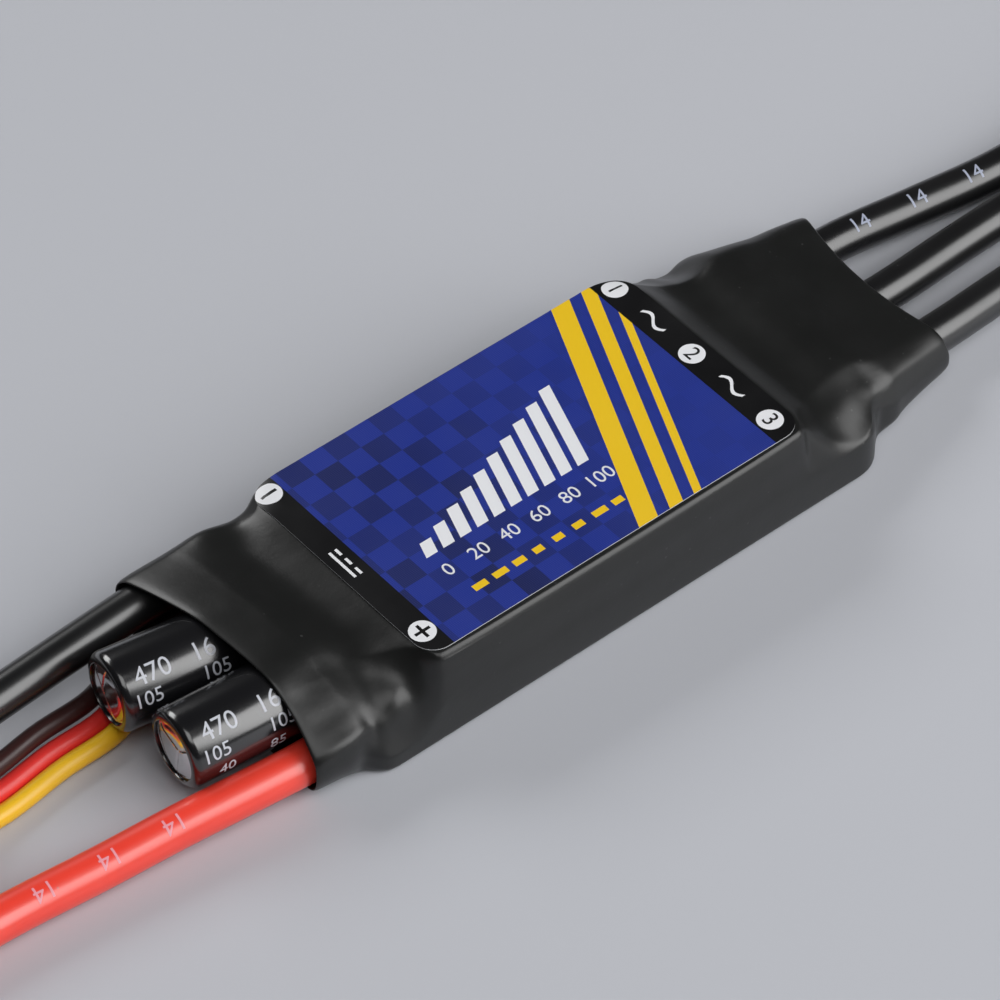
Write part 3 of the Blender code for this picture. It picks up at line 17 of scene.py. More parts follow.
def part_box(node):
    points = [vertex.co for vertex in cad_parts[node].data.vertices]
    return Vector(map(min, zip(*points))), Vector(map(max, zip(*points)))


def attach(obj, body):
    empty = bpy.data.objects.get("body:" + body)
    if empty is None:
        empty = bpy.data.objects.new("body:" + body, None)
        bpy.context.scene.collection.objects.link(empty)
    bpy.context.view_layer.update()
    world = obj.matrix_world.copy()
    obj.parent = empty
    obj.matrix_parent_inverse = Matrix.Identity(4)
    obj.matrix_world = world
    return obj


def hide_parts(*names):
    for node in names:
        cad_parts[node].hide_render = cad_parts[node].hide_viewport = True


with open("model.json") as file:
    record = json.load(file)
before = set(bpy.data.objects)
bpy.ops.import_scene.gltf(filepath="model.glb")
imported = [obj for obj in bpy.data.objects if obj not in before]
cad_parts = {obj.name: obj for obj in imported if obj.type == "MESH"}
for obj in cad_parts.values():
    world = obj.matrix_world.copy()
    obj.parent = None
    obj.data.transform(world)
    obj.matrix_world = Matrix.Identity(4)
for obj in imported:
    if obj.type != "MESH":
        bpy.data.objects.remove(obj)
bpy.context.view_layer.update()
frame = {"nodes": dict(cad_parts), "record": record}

bl_info = {
    "name": "Speed Controller Looks",
    "version": (1, 0, 0),
    "blender": (4, 5, 0),
    "location": "3D View > Sidebar > Speed Controller",
    "description": "Dresses the solids of a sleeved speed controller for a brushless motor",
    "category": "Object",
}

# Routes of the motor wires, from the board outwards: X is shared but for two points, Z is shared
MOTOR_X = (0.02125, 0.0272, 0.0298, 0.0335, 0.0380, 0.0420)
MOTOR_OWN_X = ((0.0500, 0.0587), (0.0480, 0.0546), (0.0483, 0.0600))
MOTOR_LAST_X = (0.0750, 0.0920)
MOTOR_Y = (
    (0.0079, 0.0079, 0.0079, 0.00785, 0.0077, 0.0076, 0.0066, 0.0056, 0.0056, 0.0061),
    (0.0003, 0.0003, 0.0003, 0.0003, 0.0003, 0.0004, 0.0008, 0.00105, 0.0006, 0.0005),
    (-0.0064, -0.0064, -0.0064, -0.0063, -0.0062, -0.0061, -0.0057, -0.0053, -0.0052, -0.0053),
)
MOTOR_Z = (0.0051, 0.0051, 0.0044, 0.0033, 0.00255, 0.0024, 0.0022, 0.0021, 0.0023, 0.0028)
MOTOR_ROUTES = tuple(tuple(zip(MOTOR_X + own + MOTOR_LAST_X, ys, MOTOR_Z))
                     for own, ys in zip(MOTOR_OWN_X, MOTOR_Y))

# Routes of the battery wires
BATTERY_ROUTES = {
    "negative": (
        (-0.0209, 0.0098, 0.00265), (-0.0226, 0.0099, 0.0034), (-0.0243, 0.0101, 0.0050),
        (-0.0262, 0.0103, 0.0055), (-0.0286, 0.0106, 0.0053), (-0.0315, 0.0108, 0.0050),
        (-0.0390, 0.01055, 0.0048), (-0.0464, 0.0102, 0.0046), (-0.0560, 0.0098, 0.0042),
        (-0.0700, 0.0096, 0.0036), (-0.0900, 0.0096, 0.0034), (-0.1090, 0.0091, 0.0036),
    ),
    "positive": (
        (-0.0209, -0.0094, 0.00265), (-0.0240, -0.0094, 0.00265), (-0.0270, -0.0094, 0.00255),
        (-0.0307, -0.0094, 0.0025), (-0.0355, -0.0089, 0.0024), (-0.0430, -0.0080, 0.0022),
        (-0.0497, -0.00735, 0.0020), (-0.0589, -0.0065, 0.0020), (-0.0720, -0.0064, 0.0022),
        (-0.0900, -0.0064, 0.0026), (-0.1090, -0.0059, 0.0034),
    ),
}

# Routes of the servo wires up to their folds: X is shared but for one point, and Z inside the sleeve
SERVO_COLOURS = ("yellow", "red", "brown")
SERVO_X = (-0.0234, -0.0253, -0.0265, -0.0290, -0.0318, -0.0360, -0.0398, -0.0453)
SERVO_OWN_X = (-0.0522, -0.0518, -0.0513)
SERVO_LAST_X = -0.0580
SERVO_Y = (
    (0.0058, 0.0058, 0.0058, 0.0059, 0.0059, 0.0054, 0.0039, 0.0036, 0.0028, 0.0034),
    (0.0076, 0.0076, 0.0076, 0.0077, 0.0077, 0.0072, 0.00568, 0.0053, 0.0044, 0.0042),
    (0.0094, 0.0094, 0.0094, 0.0095, 0.0095, 0.0090, 0.0075, 0.0069, 0.0057, 0.0047),
)
SERVO_FIRST_Z = (0.0021, 0.0021, 0.0017, 0.00153, 0.0015)
SERVO_OWN_Z = (
    (0.00092, 0.00090, 0.00090, 0.00090, 0.00112),
    (0.00092, 0.0010, 0.0012, 0.00148, 0.0029),
    (0.0012, 0.0017, 0.0022, 0.0028, 0.0048),
)
SERVO_ROUTES = tuple(tuple(zip(SERVO_X + (own, SERVO_LAST_X), ys, SERVO_FIRST_Z + zs))
                     for own, ys, zs in zip(SERVO_OWN_X, SERVO_Y, SERVO_OWN_Z))

# Lengths of bare core at the start of each wire
MOTOR_BARE = 0.00655
BATTERY_BARE = {"negative": 0.0046, "positive": 0.0047}
SERVO_BARE = 0.0025

# Ends of the leads
MOTOR_LEAD_END = Vector((0.1050, 0.0005, 0.0028))
MOTOR_LEAD_PITCH = 0.0058
BULLET_OVERLAP = 0.0050
BATTERY_LEAD_END = Vector((-0.1300, 0.0016, 0.00405))
BATTERY_BLADE_PITCH = 0.0070
BATTERY_TUBE_OVERLAP = 0.0055
SERVO_LEAD_END = Vector((-0.0955, 0.0036, 0.0040))
SERVO_PITCH = 0.00254
SERVO_WIRE_DEPTH = 0.0035

# Folded stretch of the servo lead
FOLD_NEAR = -0.0660
FOLD_FAR = -0.1080
FOLD_OUT_Y = 0.0062
FOLD_BACK_Y = -0.0030
FOLD_LAST_Y = 0.0036
FOLD_LOW_Z = 0.0016
FOLD_PITCH = 0.0018
FOLD_TURN_STEPS = 12
TIE_X = -0.0800
TIE_STRAIGHT = 0.0048

# Bullet sockets: wall, depths, and their outlines as steps back from the mouth and in or out
SOCKET_WALL = 0.0005
SOCKET_CUP = 0.0040
SOCKET_BORE_END = 0.0096
SOCKET_FLOOR = 0.0003                   # radius at which the cup and the bore close
SOCKET_EDGE = 0.00012
SOCKET_OUTSIDE = (
    (0.0022, 0.0), (0.0020, 0.00012), (0.0017, 0.00012), (0.0015, 0.0),
    (0.00022, 0.0), (0.00006, 0.00007), (0.0, 0.0002),
)
SOCKET_INSIDE = ((0.0, 0.0001), (0.00025, 0.0), (0.0090, 0.0))

# Insulating tubes on the sockets and the battery plug
TUBE_CLEARANCE = 0.0001
TUBE_EDGE = 0.0002
TUBE_STEP_AT = (0.42, 0.47)             # shares of the tube's length
SHOULDER = (-0.0026, -0.0019, -0.0010, -0.0003)

# Rounding of the edges of moulded and stamped pieces
TIE_EDGE = 0.00018
BATTERY_PLUG_EDGE = 0.00022
BLADE_EDGE = 0.00014
SERVO_PLUG_EDGE = 0.00010
CONTACT_EDGE = 0.00006

# How the shrunk film differs from its solid: fuller or lower edges of the plate, between limits
EDGE_NEAR = 0.0005
EDGE_FAR = 0.0002
EDGE_DROP = 0.00035
PLATE_END = (0.0192, 0.0206)
EDGE_TOP = (0.0042, 0.0084)
EDGE_SIDE = (0.0060, 0.0113)
DROP_TOP = (0.0060, 0.0085)
DROP_SIDE = (0.0114, 0.0127)
# Over the motor wires: how much fuller, rising between two X, then what share is lost between two more
NEAR_NECK = (0.085, (0.0294, 0.0322), 0.50, (0.0345, 0.0405))
FAR_NECK = (0.095, (0.0262, 0.0295), 0.45, (0.0360, 0.0405))

# Dents and bulges of the film, in millimetres: place, size, push
MILLIMETRES = 1000.0                    # in a metre
FILM_PRESSES = (
    ((26.2, 12.2, 5.0), (2.0, 3.5, 2.6), (0.0, -0.1, -0.4)),
    ((23.6, 12.2, 5.2), (1.2, 3.0, 2.6), (0.0, 0.1, 0.3)),
    ((31.8, 11.8, 5.0), (2.6, 3.5, 2.6), (0.0, 0.1, 0.3)),
    ((25.0, -12.8, 4.8), (2.6, 2.2, 2.2), (0.0, 0.0, -0.35)),
    ((24.8, -10.4, 6.0), (2.6, 1.4, 2.0), (0.0, 0.0, 0.3)),
    ((27.0, -11.0, 5.3), (1.8, 1.2, 1.4), (0.0, 0.0, -0.18)),
    ((30.0, -10.0, 5.0), (1.4, 1.0, 1.4), (0.0, 0.0, 0.2)),
    ((33.5, -9.3, 4.8), (5.0, 1.0, 1.2), (0.0, -0.1, 0.3)),
    ((29.0, -11.5, 2.5), (1.2, 2.2, 3.5), (0.0, 0.4, 0.0)),
    ((20.0, 11.8, 9.2), (2.2, 2.2, 3.0), (0.0, -0.2, -0.6)),
    ((-20.3, 11.8, 9.0), (2.2, 2.2, 3.0), (0.0, -0.1, -0.5)),
    ((-24.0, 11.5, 7.9), (2.4, 2.4, 2.4), (0.0, 0.4, 0.6)),
    ((-27.5, -10.8, 5.0), (5.5, 2.4, 3.0), (0.0, -0.9, 0.6)),
    ((-27.0, -6.2, 8.8), (3.6, 1.8, 2.5), (0.0, 0.0, -0.5)),
    ((-24.2, -7.4, 7.8), (2.4, 2.2, 2.5), (0.0, 0.0, -0.45)),
    ((-29.5, -10.2, 6.0), (3.5, 1.4, 1.6), (0.0, 0.0, 0.2)),
    ((-28.8, -12.0, 4.9), (4.2, 0.8, 1.2), (0.0, -0.1, 0.42)),
    ((-29.0, -8.7, 7.3), (4.0, 1.3, 1.6), (0.0, 0.0, 0.12)),
    ((-29.8, -9.9, 6.4), (3.4, 0.9, 1.2), (0.0, 0.0, -0.15)),
    ((-32.5, -11.8, 3.0), (3.0, 2.8, 4.0), (-0.9, 0.0, 0.0)),
    ((-23.2, -11.4, 5.8), (1.2, 1.8, 2.0), (0.0, -0.2, 0.5)),
    ((-25.8, -11.8, 4.8), (0.8, 1.4, 1.8), (0.0, 0.3, -0.1)),
    ((-26.8, -12.5, 1.6), (0.9, 1.0, 3.0), (0.0, 0.4, 0.0)),
)
FILM_ROUNDING = 3
FILM_KEPT = 0.96                        # share of the faces that stay when the rounded film is thinned

# Size number printed on a black wire and the red one: distances along the wire, height, turn from the top
WIRE_MARK = "14"
WIRE_MARK_PLACES = (0.0225, 0.0285, 0.0345, 0.0405)
WIRE_MARK_SIZE = 0.0021
WIRE_MARK_TURN = math.radians(22.0)

# Capacitors: middle of each vent end, and how it leans to +Y and upwards
CAPACITOR_TIPS = (Vector((-0.0401, 0.00445, 0.0053)), Vector((-0.0396, -0.00353, 0.0051)))
CAPACITOR_YAWS = (math.radians(8.0), math.radians(5.0))
CAPACITOR_PITCHES = (math.radians(1.2), math.radians(0.3))
# Where the score lines of each vent end meet, off its middle, and the angles at which they leave
VENT_MEETINGS = ((0.0006, 0.0001), (-0.0009, 0.0009))
VENT_ANGLES = ((52.0, 101.0, 229.0), (13.0, 147.0, 280.0))

# Slope of the folds, half width of a score line, shares of the vent end over which dome and folds rise
VENT_SLOPE = 0.07
SCORE_HALF = 0.00010
VENT_DOME_RIM = 0.35
VENT_FOLD_RIM = 0.12

# Room between a can and its film, and the radius left in the middle of the vent end's rings
CAN_CLEARANCE = 0.0001
VENT_MIDDLE = 0.00004

# Figures on the capacitors: digits, height, middle from the vent end, angle from +Y over the top
CAPACITOR_FIGURES = (
    ("470", 0.0022, 0.0032, 126.0), ("16", 0.0022, 0.0078, 126.0), ("105", 0.0018, 0.0022, 158.0),
    ("105", 0.0018, 0.0084, 158.0), ("40", 0.0016, 0.0030, 190.0), ("85", 0.0016, 0.0078, 190.0),
)

# The label's sheet, and how deep a hollow in the film it bridges
LABEL_COLUMNS = 48
LABEL_ROWS = 28
LABEL_CORNER_STEPS = 8
LABEL_GAP = 0.00004
LABEL_BRIDGE = 0.00018
ABOVE_LABEL = 0.02                      # height from which places on the label are looked for

# Print of the label, on its own middle
BATTERY_STRIP_X = -0.01745
MOTOR_STRIP_X = 0.01683
MINUS_DISC = (-0.01867, 0.01042)
PLUS_DISC = (-0.01866, -0.00928)
MOTOR_DISCS = ((0.01842, 0.01038), (0.01829, 0.00037), (0.01820, -0.00951))
SIGN_LINE = 0.00015                     # half widths of the strokes
SIGN_REACH = 0.66                       # share of the disc's radius
DIRECT_LINE = 0.00013
DIRECT_Y = 0.0004
DIRECT_OVER_X = -0.01905
DIRECT_OVER_HALF = 0.0017
DIRECT_UNDER_X = -0.01842
DIRECT_UNDER_HALF = 0.0004
DIRECT_UNDER_PITCH = 0.00130
WAVE_LINE = 0.00017
WAVE_X = 0.01836
WAVE_SWING = 0.00042
WAVE_TURN = 2100.0
WAVE_REACH = 0.0015
TERMINAL_SIZE = 0.0021
GAUGE_BARS = 10
GAUGE_START = -0.0128
GAUGE_PITCH = 0.00178
GAUGE_FOOT = -0.0034
GAUGE_LOW = 0.0016
GAUGE_RISE = 0.00078
GAUGE_SLANT = 0.35
GAUGE_FILLED = 0.33
SCALE_NUMBERS = ("0", "20", "40", "60", "80", "100")
SCALE_SIZE = 0.0019
SCALE_DROP = 0.0021
DASHES = {"start": -0.0128, "end": 0.0038, "pitch": 0.0021, "half_height": 0.00034}
DASHES_Y = -0.0084
STRIPES = ((0.0083, 0.0010), (0.0113, 0.0007), (0.0136, 0.0004))      # middle and half width
STRIPE_SLANT = 0.45
STRIPE_REACH = 0.02
SCREEN_TURN = 18000.0

# Tones and ranges that several materials share
CORE_TONE = (0.62, 0.62, 0.63)
DUST_TONE = (0.30, 0.30, 0.30)
PATCHES = (0.3, 0.7)                    # where the slow patches of the grain begin and end
X_AXIS = (1.0, 0.0, 0.0)
DRAWN_ALONG_X = (0.2, 1.0, 1.0)

# Softboxes: place and size
SOFTBOXES = {
    "front": ((0.523, -0.760, 0.599), (1.00, 0.95)),
    "overhead": ((-0.35, -0.50, 1.20), (0.80, 0.80)),
    "back": ((-0.10, 1.20, 0.80), (0.90, 0.60)),
}
FLOOR_SIZE = 6.0
FLOOR_Z = -0.00002
SENSOR_WIDTH = 36.0
CLIP_START = 0.01

# Smoothness
WIRE_SIDES = 28
WIRE_STEP = 0.0011
TURNED_STEPS = 96
VENT_STEPS = 240
VENT_RINGS = 26
WIRE_STRIPS = 8
FIGURE_STRIPS = 10
INK_HALF = 0.000008
MERGED = 1e-7


# Sizes and colours that a user may change

def colour(name, description, default):
    return FloatVectorProperty(name=name, description=description, subtype="COLOR", size=3, min=0.0, max=1.0,
                               default=default)


def length(name, description, default):
    return FloatProperty(name=name, description=description, unit="LENGTH", precision=5, default=default)


def angle(name, description, default):
    return FloatProperty(name=name, description=description, subtype="ANGLE", default=math.radians(default))


def watts(name, description, default):
    return FloatProperty(name=name, description=description, unit="POWER", min=0.0, default=default)


class StageSettings(PropertyGroup):
    """Floor, light and camera."""

    floor: colour("Floor", "Colour of the floor", (0.535, 0.548, 0.590))
    azimuth: angle("Azimuth", "Turn of the camera about the vertical", -39.90)
    elevation: angle("Elevation", "Height of the camera as an angle", 46.69)
    distance: length("Distance", "From the camera to the middle of the picture", 0.488)
    middle: FloatVectorProperty(name="Middle", description="Point in the middle of the picture",
                                unit="LENGTH", default=(-0.00472, -0.00225, 0.0093))
    lens: FloatProperty(name="Lens", description="Focal length", unit="CAMERA", default=216.0)
    sky: FloatProperty(name="Sky", description="Brightness of the surroundings", subtype="FACTOR",
                       min=0.0, max=1.0, default=0.02)
    front: watts("Front light", "Power of the softbox in front", 12.7)
    overhead: watts("Overhead light", "Power of the softbox above", 4.4)
    back: watts("Back light", "Power of the softbox behind", 8.5)


class SleeveSettings(PropertyGroup):
    """Heat-shrink film."""

    film: colour("Film", "Colour of the shrunk film", (0.0105, 0.0108, 0.0106))
    dust: colour("Dust", "Colour of the specks on the film", (0.075, 0.076, 0.075))


class LabelSettings(PropertyGroup):
    """Printed label."""

    thickness: length("Thickness", "Thickness of the sheet", 0.00008)
    corner: length("Corner", "Radius of the corners", 0.0020)
    square: length("Square", "Side of one square of the pattern", 0.00241)
    disc: length("Disc", "Radius of the terminal marks", 0.001154)
    field: colour("Field", "Colour of the printed field", (0.0120, 0.0300, 0.262))
    square_ink: colour("Squares", "Colour of the darker squares", (0.0070, 0.0130, 0.085))
    strip: colour("Strips", "Colour of the end strips", (0.0035, 0.0035, 0.0042))
    yellow: colour("Yellow", "Colour of the stripes", (0.87, 0.56, 0.018))
    white: colour("White", "Colour of the white print", (0.83, 0.84, 0.87))


class WireSettings(PropertyGroup):
    """Power wires and servo wires."""

    power: length("Power wire", "Diameter of a power wire", 0.0036)
    power_core: length("Power core", "Diameter of its stripped core", 0.0019)
    servo: length("Servo wire", "Diameter of a servo wire", 0.0017)
    servo_core: length("Servo core", "Diameter of its stripped core", 0.0008)
    black: colour("Black", "Colour of the black silicone", (0.0060, 0.0060, 0.0066))
    hot: colour("Red", "Colour of the red silicone", (0.90, 0.052, 0.030))
    yellow: colour("Servo yellow", "Colour of the yellow servo wire", (0.98, 0.58, 0.022))
    red: colour("Servo red", "Colour of the red servo wire", (0.86, 0.040, 0.034))
    brown: colour("Servo brown", "Colour of the brown servo wire", (0.042, 0.014, 0.013))
    pale_ink: colour("Pale ink", "Colour of the print on black wires", (0.42, 0.46, 0.58))
    pink_ink: colour("Pink ink", "Colour of the print on the red wire", (0.93, 0.36, 0.42))


class CapacitorSettings(PropertyGroup):
    """Capacitors."""

    diameter: length("Diameter", "Diameter over the printed film", 0.0070)
    length: length("Length", "Length over the printed film", 0.0128)
    film_wall: length("Film wall", "Thickness of the printed film", 0.0002)
    lip: length("Lip", "How far the film curls over the vent end", 0.00084)
    edge: length("Edge", "Rounding of the vent end", 0.00075)
    seat: length("Seat", "How far the metal lies under the film's edge", 0.00018)
    dome: length("Dome", "How far the middle of the vent end stands out", 0.00020)
    score: length("Score", "Depth of the score lines in the vent end", 0.00012)
    film: colour("Film", "Colour of the printed film", (0.0060, 0.0060, 0.0070))
    ink: colour("Ink", "Colour of the print", (0.60, 0.62, 0.68))
    metal: colour("Metal", "Colour of the can", (0.80, 0.80, 0.82))


class PlugSettings(PropertyGroup):
    """Plugs and sockets."""

    red: colour("Plug", "Colour of the battery plug", (0.58, 0.022, 0.018))
    black: colour("Nylon", "Colour of the black nylon", (0.013, 0.013, 0.014))
    gold: colour("Gold", "Colour of the plated contacts", (0.86, 0.62, 0.26))


SETTINGS = {
    "controller_stage": StageSettings, "controller_sleeve": SleeveSettings,
    "controller_label": LabelSettings, "controller_wires": WireSettings,
    "controller_capacitors": CapacitorSettings, "controller_plugs": PlugSettings,
}


# Small helpers

def settings(name):
    return getattr(bpy.context.scene, "controller_" + name)


def tinted(tone, factor, extra=0.0):
    """A tone made paler or deeper."""
    return tuple(min(1.0, factor * part + extra) for part in tone)


def rise(values, low, high):
    """Smooth step from 0 to 1."""
    part = np.clip((values - low) / (high - low), 0.0, 1.0)
    return part * part * (3 - 2 * part)


def lengths_along(points):
    """Distance of each point from the first, along the route."""
    return np.concatenate(([0.0], np.cumsum(np.linalg.norm(np.diff(points, axis=0), axis=1))))


def along_axis(place, direction):
    """Matrix that takes +Z to a direction and the origin to a place."""
    return Matrix.Translation(place) @ Vector(direction).to_track_quat("Z", "Y").to_matrix().to_4x4()


def square_to(ahead):
    """Directions square to a level or sloping one: to its right and upwards."""
    aside = ahead.cross(Vector((0.0, 0.0, 1.0))).normalized()
    return aside, aside.cross(ahead)


def round_node(node):
    """Middle of the low end of a round CAD node that lies along X, its radius and its length."""
    low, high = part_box(node)
    middle = Vector((low.x, (low.y + high.y) / 2, (low.z + high.z) / 2))
    return middle, (high.z - low.z) / 2, high.x - low.x


def select_only(*items):
    bpy.ops.object.select_all(action="DESELECT")
    for item in items:
        item.select_set(True)
    bpy.context.view_layer.objects.active = items[0]


@contextmanager
def whole_mesh():
    """Edit mode with everything selected."""
    bpy.ops.object.mode_set(mode="EDIT")
    bpy.ops.mesh.select_all(action="SELECT")
    yield
    bpy.ops.object.mode_set(mode="OBJECT")


def apply_modifiers(item):
    select_only(item)
    for change in list(item.modifiers):
        bpy.ops.object.modifier_apply(modifier=change.name)


def shade(item, limit=35.0):
    select_only(item)
    bpy.ops.object.shade_smooth_by_angle(angle=math.radians(limit))


def dress(item, looks, slot, *nodes):
    """Give a piece its materials, let it ride on the body and stand for CAD nodes; slot is not used."""
    item.data.materials.clear()
    for look in looks:
        item.data.materials.append(look)
    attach(item, "root")
    if nodes:
        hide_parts(*nodes)
    return item


def copied_node(node, name):
    """A copy of a CAD node with its triangles merged into one surface of larger faces."""
    item = bpy.data.objects.new(name, frame["nodes"][node].data.copy())
    bpy.context.scene.collection.objects.link(item)
    select_only(item)
    bpy.ops.mesh.customdata_custom_splitnormals_clear()
    with whole_mesh():
        bpy.ops.mesh.remove_doubles(threshold=1e-6)
        bpy.ops.mesh.mark_sharp(clear=True)
    return item


def softened_node(node, name, width, segments, look, slot):
    """A dressed copy of a flat-sided CAD node with its edges rounded."""
    item = copied_node(node, name)
    with whole_mesh():
        bpy.ops.mesh.dissolve_limited(angle_limit=math.radians(1.0))
    change = item.modifiers.new("edges", "BEVEL")
    change.width = width
    change.segments = segments
    change.limit_method = "ANGLE"
    change.angle_limit = math.radians(30)
    apply_modifiers(item)
    shade(item)
    return dress(item, [look], slot, node)


def turned_piece(name, profile, steps, place):
    """Turn (along, radius) points about an axis: a circle, extruded and scaled ring by ring."""
    bpy.ops.object.select_all(action="DESELECT")
    start, radius = profile[0]
    looped = profile[0] == profile[-1]
    bpy.ops.mesh.primitive_circle_add(vertices=steps, radius=radius, location=(0.0, 0.0, start),
                                      fill_type="NOTHING" if looped else "NGON")
    item = bpy.context.active_object
    item.name = name
    bpy.ops.object.transform_apply(location=True)
    with whole_mesh():
        for (before, narrow), (along, wide) in zip(profile, profile[1:]):
            bpy.ops.mesh.extrude_region_move(TRANSFORM_OT_translate={"value": (0.0, 0.0, along - before)})
            grow = wide / narrow
            bpy.ops.transform.resize(value=(grow, grow, 1.0), center_override=(0.0, 0.0, along))
        bpy.ops.mesh.select_all(action="SELECT")
        bpy.ops.mesh.remove_doubles(threshold=MERGED)
        bpy.ops.mesh.normals_make_consistent(inside=False)
    item.data.transform(place)
    return item


def dressed_turn(name, profile, place, look, slot, node):
    item = turned_piece(name, profile, TURNED_STEPS, place)
    shade(item)
    return dress(item, [look], slot, node)


def printed_number(name, body, size, strips=0):
    """Plain digits as a thin mesh, cut into strips where they are to be wrapped round a wire or can."""
    bpy.ops.object.select_all(action="DESELECT")
    bpy.ops.object.text_add()
    item = bpy.context.active_object
    item.name = name
    item.data.body = body
    item.data.size = size
    item.data.extrude = INK_HALF
    item.data.resolution_u = 4
    item.data.align_x = "CENTER"
    item.data.align_y = "CENTER"
    bpy.ops.object.convert(target="MESH")
    with whole_mesh():
        bpy.ops.mesh.remove_doubles(threshold=MERGED)
        for step in range(1, strips):
            bpy.ops.mesh.select_all(action="SELECT")
            bpy.ops.mesh.bisect(plane_co=(0.0, size * (step / strips - 0.5), 0.0), plane_no=(0.0, 1.0, 0.0))
        bpy.ops.mesh.select_all(action="SELECT")
        bpy.ops.mesh.normals_make_consistent(inside=False)
    return item


def joined(name, items):
    select_only(*items)
    if len(items) > 1:
        bpy.ops.object.join()
    items[0].name = name
    return items[0]


# Shader nodes

class Sheet:
    """A node tree, with short ways to add nodes and join them."""

    def __init__(self, tree):
        self.tree = tree

    def node(self, kind, **choices):
        made = self.tree.nodes.new("ShaderNode" + kind)
        for name, value in choices.items():
            setattr(made, name, value)
        return made

    def feed(self, socket, value):
        if isinstance(value, bpy.types.NodeSocket):
            self.tree.links.new(value, socket)
        else:
            socket.default_value = value

    def math(self, operation, *values):
        made = self.node("Math", operation=operation)
        for socket, value in zip(made.inputs, values):
            self.feed(socket, value)
        return made.outputs[0]

    def less(self, value, limit):
        return self.math("LESS_THAN", value, limit)

    def times(self, first, *others):
        for other in others:
            first = self.math("MULTIPLY", first, other)
        return first

    def most(self, first, *others):
        for other in others:
            first = self.math("MAXIMUM", first, other)
        return first

    def ramp(self, value, low, high, from_low=0.0, from_high=1.0):
        made = self.node("MapRange", clamp=True)
        for socket, number in zip(made.inputs, (value, from_low, from_high, low, high)):
            self.feed(socket, number)
        return made.outputs[0]

    def mix(self, factor, first, second):
        made = self.node("Mix", data_type="RGBA")
        for name, value in (("Factor_Float", factor), ("A_Color", first), ("B_Color", second)):
            socket = next(item for item in made.inputs if item.identifier == name)
            self.feed(socket, value if isinstance(value, (float, bpy.types.NodeSocket)) else (*value, 1.0))
        return next(item for item in made.outputs if item.identifier == "Result_Color")

    def noise(self, position, scale, detail=2.0, roughness=0.5):
        made = self.node("TexNoise")
        wanted = {"Vector": position, "Scale": scale, "Detail": detail, "Roughness": roughness}
        for name, value in wanted.items():
            self.feed(made.inputs[name], value)
        return made.outputs["Fac"]

    def parts(self, vector):
        made = self.node("SeparateXYZ")
        self.feed(made.inputs[0], vector)
        return made.outputs

    def vector(self, x, y):
        made = self.node("CombineXYZ")
        self.feed(made.inputs[0], x)
        self.feed(made.inputs[1], y)
        return made.outputs[0]

    def effect(self, name, **values):
        made = self.node("Group", node_tree=effect_tree(name))
        for label, value in values.items():
            self.feed(made.inputs[label.replace("_", " ").capitalize()], value)
        return made.outputs

    def grain(self, position, scale):
        return self.effect("skin grain", position=position, scale=scale)

    def bar(self, position, centre, half_size, slant=0.0):
        return self.effect("printed bar", position=position, centre=(*centre, 0.0),
                           half_size=(*half_size, 0.0), slant=slant)["Mask"]

    def position(self):
        return self.node("TexCoord").outputs["Object"]

    def uv(self):
        return self.node("UVMap", uv_map="UVMap").outputs["UV"]


def fill_dust(sheet, ins):
    """Sparse round specks: one cell in a few holds one."""
    cells = sheet.node("TexVoronoi")
    sheet.feed(cells.inputs["Vector"], ins["Position"])
    sheet.feed(cells.inputs["Scale"], ins["Scale"])
    chance = sheet.parts(cells.outputs["Color"])
    near = sheet.less(cells.outputs["Distance"], sheet.times(ins["Size"], chance[1]))
    return [sheet.times(near, sheet.less(chance[0], ins["Share"]))]


def fill_grain(sheet, ins):
    """Fine grain for a bump and slow patches for a roughness."""
    fine = sheet.noise(ins["Position"], ins["Scale"], 4.0, 0.6)
    slow = sheet.noise(ins["Position"], sheet.math("DIVIDE", ins["Scale"], 14.0), 3.0, 0.55)
    return [sheet.math("ADD", fine, sheet.times(slow, 0.6)), slow]


def fill_bar(sheet, ins):
    """A bar with straight ends, slanted like a parallelogram."""
    away = sheet.node("VectorMath", operation="SUBTRACT")
    sheet.feed(away.inputs[0], ins["Position"])
    sheet.feed(away.inputs[1], ins["Centre"])
    x, y, _ = sheet.parts(away.outputs[0])
    half_x, half_y, _ = sheet.parts(ins["Half size"])
    leaning = sheet.math("ABSOLUTE", sheet.math("SUBTRACT", x, sheet.times(y, ins["Slant"])))
    return [sheet.times(sheet.less(leaning, half_x), sheet.less(sheet.math("ABSOLUTE", y), half_y))]


def fill_dashes(sheet, ins):
    """A row of dashes of unlike lengths along one direction."""
    turn = sheet.math("DIVIDE", ins["Along"], ins["Pitch"])
    cell = sheet.node("TexWhiteNoise", noise_dimensions="1D")
    sheet.feed(cell.inputs["W"], sheet.math("FLOOR", turn))
    dash = sheet.less(sheet.math("FRACT", turn), sheet.ramp(cell.outputs["Value"], 0.45, 0.86))
    level = sheet.less(sheet.math("ABSOLUTE", ins["Across"]), ins["Half height"])
    after = sheet.math("GREATER_THAN", ins["Along"], ins["Start"])
    before = sheet.less(ins["Along"], ins["End"])
    return [sheet.times(dash, level, sheet.times(after, before))]


# Node groups: inputs, outputs and what fills them
EFFECTS = {
    "fine dust": (("Position", "Scale", "Size", "Share"), ("Mask",), fill_dust),
    "skin grain": (("Position", "Scale"), ("Height", "Patches"), fill_grain),
    "printed bar": (("Position", "Centre", "Half size", "Slant"), ("Mask",), fill_bar),
    "printed dashes": (("Along", "Across", "Start", "End", "Pitch", "Half height"), ("Mask",), fill_dashes),
}
VECTOR_INPUTS = ("Position", "Centre", "Half size")


